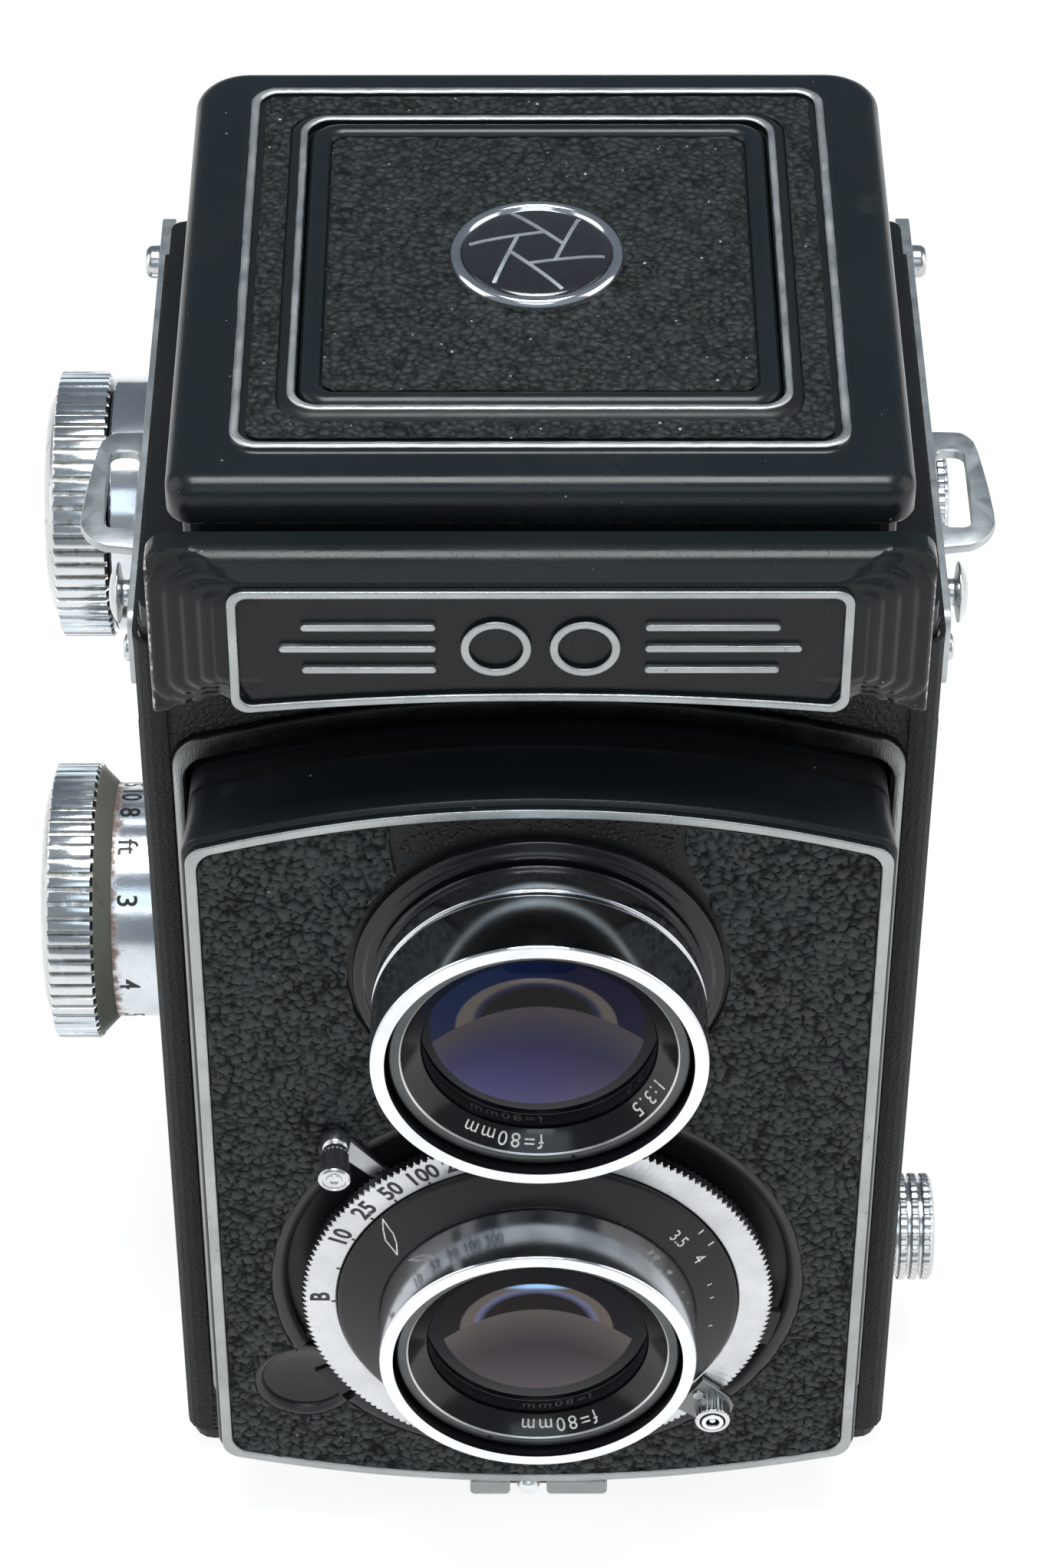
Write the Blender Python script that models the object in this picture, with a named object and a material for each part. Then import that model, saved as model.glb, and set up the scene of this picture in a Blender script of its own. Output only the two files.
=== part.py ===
# Twin lens reflex camera for 120 film, as an assembly of separate pieces.
# Lengths are written in millimetres and built in metres. +Z is up, the lenses look along -Y
# (front is -Y, back is +Y) and left is -X. Dimensions are measured from the axis of the tripod
# bush and the standing plane; at the end FRAME_SHIFT moves the origin under the middle of the
# whole camera's bounding box.
import math
from itertools import count

import bmesh
import bpy
from mathutils import Vector

for old_object in list(bpy.data.objects):
    bpy.data.objects.remove(old_object, do_unlink=True)

# ---------------------------------------------------------------- driving dimensions
MM = 0.001
FRAME_SHIFT = (4.35, 11.1, 0.0)  # from the tripod bush's axis to the middle of the bounding box
SEGMENT_SHARE = 0.66             # share of the full segment count that turned pieces use
SIDES = (-1, 1)                  # left, right

TAKE_Z = 38.8                    # height of the taking lens axis
TAKE_AXIS = (0, TAKE_Z)          # x, z
VIEW_AXIS = (0, 83.5)            # x, z of the viewing lens axis
LENS_R = 16.0                    # outside radius of both lens mounts
LENS_BORE_R = 10.4
LENS_ELEMENT_R = 10.2
VIEW_FRONT = -60.5               # front edge of the viewing mount
TAKE_FRONT = -58.6               # front edge of the taking mount
BOARD_Y = -47.5                  # front plane of the lens board
BOARD_BACK = -38.0               # back of the board's tapered front part

BODY_HX = 37.3                   # half width of the metal shell
BODY_FRONT = -37.4               # front plane of the metal shell
BODY_BACK = 35.6                 # rear edge of the shell, where the door closes
BODY_BOTTOM = 3.3                # lower edge of the shell, above the door's bottom plate
DECK_Z = 118.0                   # top of the shell
WALL = 1.5
LEATHER = 0.5                    # thickness of the body leather
LEATHER_GAP = 0.08               # between the shell and the leather
THIN_GAP = 0.04                  # under the thin trims and leather panels

WIND = (20.0, 86.3)              # y, z of the winding knob and take-up spool
FOCUS = (-8.0, 55.0)             # y, z of the focusing knob
SUPPLY = (-20.0, 16.5)           # y, z of the supply spool
SHAFT_HOLES = {-1: (3.6, (WIND, FOCUS)), 1: (3.1, (WIND, SUPPLY))}  # side: radius, centres
DOOR_HINGE = (36.9, 110.0)       # y, z of the door's hinge pin
LID_HINGE = (-41.6, 135.45)      # y, z of the hood lid's hinge axis

# name: base colour, roughness, metallic
FINISHES = {
    "paint": ((0.016, 0.022, 0.026), 0.33, 0.0),
    "black": ((0.008, 0.009, 0.010), 0.45, 0.0),
    "leather": ((0.028, 0.034, 0.034), 0.55, 0.0),
    "satin": ((0.46, 0.48, 0.48), 0.38, 1.0),
    "chrome": ((0.62, 0.64, 0.66), 0.16, 1.0),
    "steel": ((0.45, 0.46, 0.47), 0.35, 1.0),
    "glass": ((0.05, 0.05, 0.11), 0.05, 0.0),
    "mirror": ((0.85, 0.87, 0.88), 0.03, 1.0),
    "screen": ((0.75, 0.76, 0.74), 0.35, 0.0),
}


# ---------------------------------------------------------------- objects
def make_material(name, finish):
    colour, roughness, metallic = FINISHES[finish]
    material = bpy.data.materials.new(name)
    material.use_nodes = True
    inputs = material.node_tree.nodes.get("Principled BSDF").inputs
    inputs["Base Color"].default_value = (*colour, 1.0)
    inputs["Roughness"].default_value = roughness
    inputs["Metallic"].default_value = metallic
    return material


def piece(name, mesh, finish, origin=(0, 0, 0)):
    """Turn a bmesh into an object with its own material and the given origin."""
    bmesh.ops.remove_doubles(mesh, verts=mesh.verts, dist=1e-7)
    bmesh.ops.recalc_face_normals(mesh, faces=mesh.faces)
    location = Vector(origin) * MM
    bmesh.ops.translate(mesh, verts=mesh.verts, vec=-location)
    data = bpy.data.meshes.new(name)
    mesh.to_mesh(data)
    mesh.free()
    ob = bpy.data.objects.new(name, data)
    bpy.context.scene.collection.objects.link(ob)
    ob.location = location
    data.materials.append(make_material("m_" + name, finish))
    return ob


cutter_numbers = count(1)


def add_boolean(target, mesh, operation, name=None):
    """Make a hidden helper object from the mesh and combine it with the target."""
    tool = piece(name or "cut_%02d" % next(cutter_numbers), mesh, "black")
    tool.hide_render = True
    tool.display_type = "WIRE"
    modifier = target.modifiers.new("b%d" % len(target.modifiers), "BOOLEAN")
    modifier.operation = operation
    modifier.solver = "EXACT"
    modifier.object = tool


def cut(target, mesh):
    add_boolean(target, mesh, "DIFFERENCE")


def join(target, mesh, name=None):
    add_boolean(target, mesh, "UNION", name)


# ---------------------------------------------------------------- solids
def to_world(axis, u, v, w):
    """Point from local (u, v, w), where w runs along the axis and u, v are the other two."""
    if axis == "X":
        return Vector((w, u, v)) * MM
    if axis == "Y":
        return Vector((u, w, v)) * MM
    return Vector((u, v, w)) * MM


def new_loop(mesh, points, axis, w):
    return [mesh.verts.new(to_world(axis, u, v, w)) for u, v in points]


def loft(sections, axis):
    """Solid through a list of (outline, position along the axis)."""
    mesh = bmesh.new()
    loops = [new_loop(mesh, points, axis, w) for points, w in sections]
    for near, far in zip(loops, loops[1:]):
        for i in range(len(near)):
            j = (i + 1) % len(near)
            mesh.faces.new((near[i], near[j], far[j], far[i]))
    mesh.faces.new(loops[0][::-1])
    mesh.faces.new(loops[-1])
    return mesh


def prism(points, axis, start, end, end_points=None):
    return loft([(points, start), (end_points or points, end)], axis)


def ring(outer, inner, axis, start, end, outer_end=None, inner_end=None):
    """Frame between two outlines that have the same number of points."""
    mesh = bmesh.new()
    a = new_loop(mesh, outer, axis, start)
    b = new_loop(mesh, outer_end or outer, axis, end)
    c = new_loop(mesh, inner, axis, start)
    d = new_loop(mesh, inner_end or inner, axis, end)
    for i in range(len(outer)):
        j = (i + 1) % len(outer)
        mesh.faces.new((a[i], a[j], b[j], b[i]))
        mesh.faces.new((c[j], c[i], d[i], d[j]))
        mesh.faces.new((a[j], a[i], c[i], c[j]))
        mesh.faces.new((b[i], b[j], d[j], d[i]))
    return mesh


def lathe(axis, centre, profile, segments):
    """Turn a closed list of (radius, position along the axis); radius 0 becomes a pole."""
    mesh = bmesh.new()
    segments = max(10, round(segments * SEGMENT_SHARE))
    loops = []
    for radius, w in profile:
        points = [centre] if radius == 0 else circle(centre, [radius] * segments)
        loops.append(new_loop(mesh, points, axis, w))
    for a, b in zip(loops, loops[1:] + loops[:1]):
        if len(a) == 1 and len(b) == 1:
            continue
        for i in range(segments):
            j = (i + 1) % segments
            if len(a) == 1:
                mesh.faces.new((a[0], b[i], b[j]))
            elif len(b) == 1:
                mesh.faces.new((a[i], a[j], b[0]))
            else:
                mesh.faces.new((a[i], a[j], b[j], b[i]))
    return mesh


# ---------------------------------------------------------------- outlines and lathe profiles
def circle(centre, radii):
    """Evenly spaced points round a centre, one for each radius."""
    points = []
    for i, radius in enumerate(radii):
        angle = 2 * math.pi * i / len(radii)
        points.append((centre[0] + radius * math.cos(angle), centre[1] + radius * math.sin(angle)))
    return points


def arc(u, v, radius, start, end, steps, trim=0):
    """Arc about (u, v) in degrees; trim drops that many points at each end."""
    points = []
    for i in range(trim, steps + 1 - trim):
        angle = math.radians(start + (end - start) * i / steps)
        points.append((u + radius * math.cos(angle), v + radius * math.sin(angle)))
    return points


def rect(u0, u1, v0, v1):
    return [(u0, v0), (u1, v0), (u1, v1), (u0, v1)]


def rounded_rect(u0, u1, v0, v1, radius, steps=4):
    """radius is one number, or one for each corner in the order of rect()."""
    radii = radius if isinstance(radius, tuple) else (radius,) * 4
    # corners start at (u1, v0)
    corners = ((u1, v0, -1, 1), (u1, v1, -1, -1), (u0, v1, 1, -1), (u0, v0, 1, 1))
    points = []
    for i, (u, v, inward_u, inward_v) in enumerate(corners):
        r = radii[(i + 1) % 4]
        start = 90 * i - 90
        points += arc(u + inward_u * r, v + inward_v * r, r, start, start + 90, steps)
    return points


def box_outline(half_x, y0, y1, front_radius, back_radius, steps):
    """Plan outline in (x, y), symmetrical in x, with its own radius at front and back."""
    radii = (front_radius, front_radius, back_radius, back_radius)
    return rounded_rect(-half_x, half_x, y0, y1, radii, steps)


def tube(inner, outer, start, end):
    return [(inner, start), (outer, start), (outer, end), (inner, end)]


def rod(radius, start, end):
    return tube(0, radius, start, end)


def mirrored(points, side):
    """Multiply the first coordinate by the side."""
    return [(side * u, v) for u, v in points]


def board_outline(half_x, top, bottom, radius, grow=0.0):
    """Barrel shape in (x, z): straight sides, bowed top and bottom edges."""
    corner_x = half_x + grow - radius
    corner_lift = 0.35

    def top_z(x):
        return top + grow - 4.0 * (x / 28.5) ** 2

    def bottom_z(x):
        return bottom - grow + 4.1 * (x / 31.5) ** 2

    def corner(x, z, start):
        return arc(x, z, radius, start, start + 90, 4, trim=1)

    edge = [-corner_x + 2 * corner_x * i / 8 for i in range(9)]
    low = bottom_z(corner_x) + radius + corner_lift
    high = top_z(corner_x) - radius - corner_lift
    return ([(x, bottom_z(x)) for x in edge]
            + corner(corner_x, low, -90)
            + corner(corner_x, high, 0)
            + [(-x, top_z(-x)) for x in edge]
            + corner(-corner_x, high, 90)
            + corner(-corner_x, low, 180))


# ================================================================= BODY
def side_profile(inset):
    """(y, z) outline of the shell; an inset one runs out past the open back and bottom."""
    overrun = 30 if inset else 0
    front = BODY_FRONT + inset
    back = BODY_BACK + overrun
    bottom = BODY_BOTTOM - overrun
    return [(front, bottom), (back, bottom), (back, 108.6 - inset), (31.5, 111.4 - inset),
            (24.6, DECK_Z - inset), (front, DECK_Z - inset)]


# lug that carries an end of the door's hinge pin, in (y, z)
HINGE_LUG = [(33.4, 108.8), (34.9, 107.7), (36.9, 108.65), (38.0, 109.3), (38.0, 110.7),
             (36.9, 111.35), (33.4, 111.2)]

# shell: plan outline trimmed by the side profile, hollowed from the back and from below
shell = piece("body_shell", prism(box_outline(BODY_HX, BODY_FRONT, BODY_BACK, 2.2, 1.5, 3),
                                  "Z", BODY_BOTTOM, DECK_Z), "paint")
add_boolean(shell, prism(side_profile(0), "X", -60, 60), "INTERSECT")
cut(shell, prism(side_profile(WALL), "X", -BODY_HX + WALL, BODY_HX - WALL))
# openings for the lens board and, in the deck, for the screen
cut(shell, prism(board_outline(33.8, 107.9, 5.7, 2.6), "Y", -45, -30))
cut(shell, prism(rounded_rect(-31.6, 31.6, -33.6, 20.8, 2.0, 3), "Z", 110, 125))
for side, (hole_radius, centres) in SHAFT_HOLES.items():
    for centre in centres:
        cut(shell, lathe("X", centre, rod(hole_radius, side * 50, side * 30), 24))
for side in SIDES:
    join(shell, prism(HINGE_LUG, "X", side * 31.2, side * 33.6))
cut(shell, lathe("X", DOOR_HINGE, rod(0.85, -40, 40), 12))


def body_leather(name, side):
    """Leather on one side, wrapped round the front corner."""
    inner_x = BODY_HX + LEATHER_GAP
    outer_x = inner_x + LEATHER
    inner_y = BODY_FRONT - LEATHER_GAP
    outer_y = inner_y - LEATHER
    front_end_x = 34.95
    back_end_y = 34.6
    outer_r = 2.2
    inner_r = 1.7
    points = ([(front_end_x, outer_y)]
              + arc(outer_x - outer_r, outer_y + outer_r, outer_r, -90, 0, 4)
              + [(outer_x, back_end_y), (inner_x, back_end_y)]
              + arc(inner_x - inner_r, inner_y + inner_r, inner_r, 0, -90, 3)
              + [(front_end_x, inner_y)])
    leather = piece(name, prism(mirrored(points, side), "Z", BODY_BOTTOM + 0.2, 116.6), "leather")
    # the rear top corner follows the shell
    rear_corner = [(23.0, 125), (23.0, 116.4), (31.2, 110.2), (45, 106.8), (45, 125)]
    cut(leather, prism(rear_corner, "X", side * 30, side * 45))
    # the strap plate lies on bare metal
    strap_window = rounded_rect(-36.4, 33.4, 105.2, 115.8, 1.0, 2)
    cut(leather, prism(strap_window, "X", side * 30, side * 45))
    shell_hole_radius, centres = SHAFT_HOLES[side]
    for centre in centres:
        cut(leather, lathe("X", centre, rod(shell_hole_radius + 0.2, side * 45, side * 30), 24))


body_leather("body_leather_left", -1)
body_leather("body_leather_right", 1)

# satin flange round the lens board opening
piece("front_flange", ring(board_outline(34.75, 110.2, 4.2, 3.2),
                           board_outline(33.75, 107.6, 5.9, 2.6), "Y", -38.35, -37.5), "satin")

# ---------------------------------------------------------------- nameplate over the lens board
# stations of one half: distance from the middle, setback of the rounded end
NAMEPLATE_STATIONS = [(35.5, 5.6), (35.2, 3.9), (34.2, 2.1), (32.9, 1.1), (31.5, 0.5),
                      (30.0, 0.0), (24, 0.0), (16, 0.0), (8, 0.0), (0, 0.0)]
NAMEPLATE_BACK = -37.55
NAMEPLATE_REST_Y = -42.75        # back of the part that stands above the step
NAMEPLATE_STEP_Z = 120.9


def nameplate_section(x, setback):
    """(y, z) section at x; the setback moves the front and top edges inwards."""
    front = -48.0 + setback
    bottom = 118.4 - 1.35 * (abs(x) / 33.0) ** 2 + setback * 0.22
    top = 134.4 - setback * 0.55
    bevel_z = 132.3 - setback * 0.55
    bevel_y = min(front + 2.1 * (1 - setback / 12), -43.1)
    return [(NAMEPLATE_BACK, bottom), (front + 0.3, bottom), (front, bottom + 0.5),
            (front, bevel_z), (bevel_y, top), (NAMEPLATE_REST_Y, top),
            (NAMEPLATE_REST_Y, NAMEPLATE_STEP_Z), (NAMEPLATE_BACK, NAMEPLATE_STEP_Z)]


stations = mirrored(NAMEPLATE_STATIONS, -1) + NAMEPLATE_STATIONS[-2::-1]
piece("nameplate", loft([(nameplate_section(x, setback), x) for x, setback in stations], "X"),
      "paint")


def nameplate_frame(inset):
    """(x, z) outline with a bowed lower edge."""
    radius = 1.6
    corner_x = 28.05 - inset - radius
    lower = []
    for i in range(9):
        x = -corner_x + 2 * corner_x * i / 8
        lower.append((x, 118.5 + inset - 1.25 * (x / 25.0) ** 2))
    low = lower[0][1] + radius
    high = 131.5 - inset - radius
    return (lower
            + arc(corner_x, low, radius, -90, 0, 4, trim=1)
            + arc(corner_x, high, radius, 0, 90, 4)
            + arc(-corner_x, high, radius, 90, 180, 4)
            + arc(-corner_x, low, radius, 180, 270, 4, trim=1))


trim = piece("nameplate_trim", ring(nameplate_frame(0), nameplate_frame(0.85),
                                    "Y", -48.55, -48.04), "satin")
# thin backing plate that carries the frame and the relief
join(trim, prism(nameplate_frame(0.4), "Y", -48.2, -48.04))
# relief: two open rings with three lines on either side
RELIEF_Z = 124.7
RELIEF_Y = (-48.6, -48.1)
for x in (-4.0, 4.0):
    join(trim, lathe("Y", (x, RELIEF_Z), tube(2.4, 3.2, *RELIEF_Y), 24))
for side in SIDES:
    for z, line_end in ((RELIEF_Z + 2.5, 21.5), (RELIEF_Z, 23.5), (RELIEF_Z - 2.5, 21.5)):
        x0, x1 = sorted((side * 9.4, side * line_end))
        join(trim, prism(rounded_rect(x0, x1, z - 0.35, z + 0.35, 0.3, 2), "Y", *RELIEF_Y))

# ---------------------------------------------------------------- mirror box and screen
# box with a sloping rear wall that carries the mirror, open at the front and top
mirror_box = piece("mirror_box", prism([(-27.0, 60.5), (-24.8, 60.5), (22.0, 107.3),
                                        (22.0, 116.2), (-27.0, 116.2)], "X", -34.0, 34.0),
                   "black")
cut(mirror_box, prism([(-40.0, 62.0), (-24.7, 62.0), (20.6, 107.3), (20.6, 130.0),
                       (-40.0, 130.0)], "X", -32.6, 32.6))

# reflex mirror, a plate at 45 degrees: y, z of the two ends of its underside
MIRROR_LOW = (-20.5, 66.5)
MIRROR_HIGH = (18.4, 105.4)
MIRROR_THICKNESS = 1.7
offset = MIRROR_THICKNESS / math.sqrt(2)
piece("reflex_mirror", prism([MIRROR_LOW, MIRROR_HIGH,
                              (MIRROR_HIGH[0] - offset, MIRROR_HIGH[1] + offset),
                              (MIRROR_LOW[0] - offset, MIRROR_LOW[1] + offset)],
                             "X", -30.0, 30.0), "mirror")

# hood base: plate with an upstanding wall round the screen
hood_base = piece("hood_base", ring(rounded_rect(-37.0, 37.0, -37.4, 23.4, 1.4, 3),
                                    rounded_rect(-29.4, 29.4, -31.9, 18.9, 1.4, 3),
                                    "Z", 118.15, 120.5), "black")


def hood_wall(outer_front, inner_front, z0, z1):
    return ring(rounded_rect(-32.2, 32.2, outer_front, 21.6, 1.6, 3),
                rounded_rect(-31.4, 31.4, inner_front, 20.9, 1.2, 3), "Z", z0, z1)


join(hood_base, hood_wall(-40.9, -40.1, 121.25, 133.9), "cut_wall")
# the wall's front part stands on a lip that reaches forward behind the nameplate
join(hood_base, prism([(-40.9, 121.1), (-37.1, 121.1), (-37.1, 119.5), (-35.9, 119.5),
                       (-35.9, 122.3), (-40.9, 122.3)], "X", -32.0, 32.0))
join(hood_base, hood_wall(-36.7, -36.0, 119.6, 121.6), "cut_wall2")

piece("ground_glass", prism(rect(-28.9, 28.9, -31.4, 18.4), "Z", 118.4, 120.2), "screen")

# ---------------------------------------------------------------- strap plates
# shelf that forms the strap loop, in (distance from the middle, y)
STRAP_LOOP = [(38.2, 0.2), (42.6, 0.0), (43.5, -1.5), (44.6, -13.6), (43.4, -16.4),
              (42.3, -17.2), (38.2, -17.9)]
# studs: (radius, distance from the middle)
MUSHROOM_STUD = [(0, 38.2), (1.35, 38.2), (1.35, 40.2), (2.75, 40.45), (2.4, 41.3),
                 (1.2, 41.7), (0, 41.8)]
PLAIN_STUD = [(0, 38.2), (1.7, 38.2), (1.7, 40.0), (1.4, 40.3), (0, 40.3)]


def strap_plate(name, side):
    plate = piece(name, prism(rounded_rect(-35.8, 32.6, 106.0, 114.9, 1.4, 3),
                              "X", side * (BODY_HX + 0.06), side * 38.75), "chrome")
    slot_x0, slot_x1 = sorted((side * 39.3, side * 42.0))
    join(plate, prism(mirrored(STRAP_LOOP, side), "Z", 110.4, 111.6))
    cut(plate, prism(rounded_rect(slot_x0, slot_x1, -14.6, -2.8, 0.8, 2), "Z", 105, 118))
    for centre, stud, segments in (((-27.0, 112.0), MUSHROOM_STUD, 20),
                                   ((27.6, 112.3), PLAIN_STUD, 16)):
        join(plate, lathe("X", centre, [(r, side * x) for r, x in stud], segments))


strap_plate("strap_plate_left", -1)
strap_plate("strap_plate_right", 1)

# ---------------------------------------------------------------- small fixed parts
piece("advance_escutcheon", lathe("X", WIND, [
    (3.7, -38.15), (13.2, -38.15), (13.2, -43.9), (12.8, -44.3), (3.7, -44.3)], 40), "chrome")
for name, z in (("film_roller_lower", 7.0), ("film_roller_upper", 70.8)):
    roller = (29.2, z)
    piece(name, lathe("X", roller, rod(2.2, -31.0, 31.0), 16), "steel", (0, *roller))
piece("door_hinge_pin", lathe("X", DOOR_HINGE, rod(0.7, -33.2, 33.2), 12), "steel")

# ================================================================= LENS BOARD (slides)
BOARD = (33.3, 104.6, 6.6)       # front outline: half width, top, bottom
BOARD_REAR = board_outline(33.1, 107.0, 6.6, 2.4)

# tapered front with a hollow sleeve behind it
board = piece("lens_board", prism(board_outline(*BOARD, 2.0), "Y", BOARD_Y, BOARD_BACK,
                                  BOARD_REAR), "paint")
join(board, prism(BOARD_REAR, "Y", -38.6, -28.6))
cut(board, prism(board_outline(31.6, 105.4, 8.1, 2.0), "Y", -43.4, -20))
# the sleeve is shorter below
cut(board, prism(rect(-40, 40, -32.2, -20), "Z", 0, 32))
# recess and hole for the shutter, hole for the viewing lens
for centre, radius, back, segments in ((TAKE_AXIS, 25.4, -45.4, 48), (TAKE_AXIS, 21.2, -40, 40),
                                       (VIEW_AXIS, 15.2, -40, 40)):
    cut(board, lathe("Y", centre, rod(radius, -50, back), segments))

# leather panel inside the satin outline, with a third round hole low on the left
front_leather = piece("front_leather", prism(board_outline(*BOARD, 1.2, grow=-1.35), "Y",
                                             BOARD_Y - 0.45, BOARD_Y - THIN_GAP), "leather")
for centre, radius, segments in ((TAKE_AXIS, 25.8, 48), (VIEW_AXIS, 18.4, 40),
                                 ((-23.2, 22.8), 5.4, 20)):
    cut(front_leather, lathe("Y", centre, rod(radius, -50, -45), segments))
piece("board_trim", ring(board_outline(*BOARD, 2.0, grow=-0.12),
                         board_outline(*BOARD, 1.2, grow=-1.15),
                         "Y", BOARD_Y - 0.6, BOARD_Y - THIN_GAP), "satin")


# ---------------------------------------------------------------- lenses
def mount_nose(front):
    """Front of either lens mount, from the outside edge in to the bore."""
    return [(LENS_R, front + 0.4), (LENS_R - 0.3, front), (LENS_R - 0.9, front),
            (LENS_R - 1.3, front + 0.9), (LENS_BORE_R, front + 4.5)]


def lens_element(name, centre, radius, front, back, sag):
    """Glass with a domed front and a flat back."""
    profile = [(0, front - sag), (radius * 0.55, front - sag * 0.68), (radius, front),
               (radius, back), (0, back)]
    piece(name, lathe("Y", centre, profile, 32), "glass")


piece("viewing_barrel", lathe("Y", VIEW_AXIS, [
    (15.0, -47.56), (17.85, -47.56), (17.85, -48.5), (16.4, -48.9), (LENS_R, -49.4),
    (LENS_R, -53.3), (15.8, -53.45), (LENS_R, -53.6), *mount_nose(VIEW_FRONT),
    (LENS_BORE_R, -41.0), (15.0, -41.0)], 48), "chrome")
lens_element("viewing_front_element", VIEW_AXIS, LENS_ELEMENT_R,
             VIEW_FRONT + 5.3, VIEW_FRONT + 7.5, sag=1.6)
lens_element("viewing_rear_element", VIEW_AXIS, 10.1, -44.4, -42.4, sag=0.8)

piece("shutter_case", lathe("Y", TAKE_AXIS, tube(12.4, 20.2, -46.4, -37.0), 40), "black")
piece("shutter_face", lathe("Y", TAKE_AXIS, [
    (16.2, -46.7), (20.25, -46.7), (20.25, -51.2), (19.8, -51.5), (16.2, -52.6)], 48), "black")
piece("speed_ring", lathe("Y", TAKE_AXIS, [
    (20.6, -49.0), (23.9, -49.0), (23.9, -50.0), (23.6, -50.3), (20.6, -50.3)], 72),
    "chrome", (0, -49.6, TAKE_Z))
piece("taking_barrel", lathe("Y", TAKE_AXIS, [
    (12.2, -47.2), (15.9, -47.2), (LENS_R, -47.4), *mount_nose(TAKE_FRONT),
    (LENS_BORE_R, -47.2)], 48), "chrome")
lens_element("taking_front_element", TAKE_AXIS, LENS_ELEMENT_R,
             TAKE_FRONT + 5.3, TAKE_FRONT + 7.5, sag=1.6)
lens_element("taking_rear_element", TAKE_AXIS, 9.0, -39.6, -37.8, sag=0.6)


# ---------------------------------------------------------------- shutter and its levers
def open_leaves(name, front, back, hole_radius, step, leaves, finish):
    """Stepped ring that the open leaves make together."""
    points = 40
    inner = [hole_radius + step * ((i * leaves / points) % 1.0) for i in range(points)]
    piece(name, ring(circle(TAKE_AXIS, [12.1] * points), circle(TAKE_AXIS, inner),
                     "Y", front, back), finish)


open_leaves("shutter_blades", -45.1, -44.8, 10.3, 0.7, 5, "steel")
open_leaves("diaphragm_blades", -42.3, -42.0, 9.6, 0.8, 10, "black")


def shutter_lever(name, outer_radius, start, end, steps, finish):
    """Arc-shaped plate in the lever layer behind the speed ring, angles in degrees."""
    points = (arc(*TAKE_AXIS, outer_radius, start, end, steps)
              + arc(*TAKE_AXIS, 20.6, end, start, steps))
    return piece(name, prism(points, "Y", -48.75, -48.15), finish, (0, -48.4, TAKE_Z))


# the cocking lever ends in a pin that stands forward
cocking_lever = shutter_lever("cocking_lever", 31.0, 129.0, 135.0, 2, "chrome")
join(cocking_lever, lathe("Y", (-20.05, 60.75), [
    (0, -48.3), (1.5, -48.3), (1.5, -53.6), (1.2, -54.0), (0, -54.0)], 16))
shutter_lever("aperture_lever", 25.6, -20.0, -8.0, 4, "black")
shutter_lever("release_lever", 26.6, 209.0, 219.0, 4, "black")

# flash socket on a small arm in front of the speed ring
SOCKET_ANGLE = math.radians(-41.0)
# arm outline: (distance from the taking axis, offset across the arm)
SOCKET_ARM = [(20.4, -4.2), (20.9, 0), (20.4, 4.2), (24.6, 3.4), (26.6, 1.6), (26.6, -1.6),
              (24.6, -3.4)]
cosine = math.cos(SOCKET_ANGLE)
sine = math.sin(SOCKET_ANGLE)
arm_points = [(r * cosine - across * sine, TAKE_Z + r * sine + across * cosine)
              for r, across in SOCKET_ARM]
sync_socket = piece("sync_socket", prism(arm_points, "Y", -51.2, -50.6), "chrome")
join(sync_socket, lathe("Y", (18.2, 23.2), [
    (0, -50.9), (1.9, -50.9), (1.9, -52.4), (1.3, -52.7), (1.3, -54.4), (0.8, -54.4),
    (0.8, -53.0), (0, -53.0)], 20))

# notched bracket with a small dome at the board's lower edge
bracket = piece("board_bracket", prism(rect(-7.1, 7.6, 3.9, 6.25), "Y", -47.3, -44.6), "chrome")
cut(bracket, prism(rect(-2.8, 1.1, 2.0, 5.4), "Y", -50, -46.0))
join(bracket, lathe("Y", (-0.85, 4.8), [
    (0, -45.6), (1.3, -45.6), (1.3, -47.0), (0.8, -47.5), (0, -47.6)], 16))


# ================================================================= FILM GATE AND TRANSPORT
def gate_square(half):
    return rect(-half, half, TAKE_Z - half, TAKE_Z + half)


# funnel that widens towards the film, with a flat frame at its back end
film_gate = piece("film_gate", ring(gate_square(12.9), gate_square(12.0), "Y", -27.0, 30.8,
                                    gate_square(29.0), gate_square(28.1)), "black")
join(film_gate, ring(rect(-34.6, 34.6, 10.4, 68.0), gate_square(28.0), "Y", 30.4, 31.4),
     "cut_gate")

# spools: core between two flanges, each end with a socket
SPOOL_PROFILE = [(0, -29.0), (2.0, -29.0), (2.0, -31.4), (11.5, -31.4), (11.5, -30.6),
                 (5.6, -30.6), (5.6, 30.6), (11.5, 30.6), (11.5, 31.4), (2.0, 31.4),
                 (2.0, 29.0), (0, 29.0)]
for name, centre in (("take_up_spool", WIND), ("supply_spool", SUPPLY)):
    piece(name, lathe("X", centre, SPOOL_PROFILE, 32), "black", (0, *centre))


def knurled_knob(name, centre, radius, x0, x1, origin_x):
    """Disc whose rim alternates between the radius and 0.5 mm less."""
    rim = circle(centre, [radius - 0.5, radius] * 40)
    return piece(name, prism(rim, "X", x0, x1), "chrome", (origin_x, *centre))


# winding knob: raised cap and stepped shaft
winding_knob = knurled_knob("advance_knob", WIND, 14.1, -50.6, -44.7, origin_x=-48.0)
join(winding_knob, lathe("X", WIND, [
    (0, -50.0), (13.2, -50.0), (13.2, -50.8), (12.2, -51.6), (0, -51.8)], 32))
join(winding_knob, lathe("X", WIND, [
    (0, -45.5), (3.3, -45.5), (3.3, -33.0), (1.6, -33.0), (1.6, -31.7), (0, -31.7)], 20))

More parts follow.
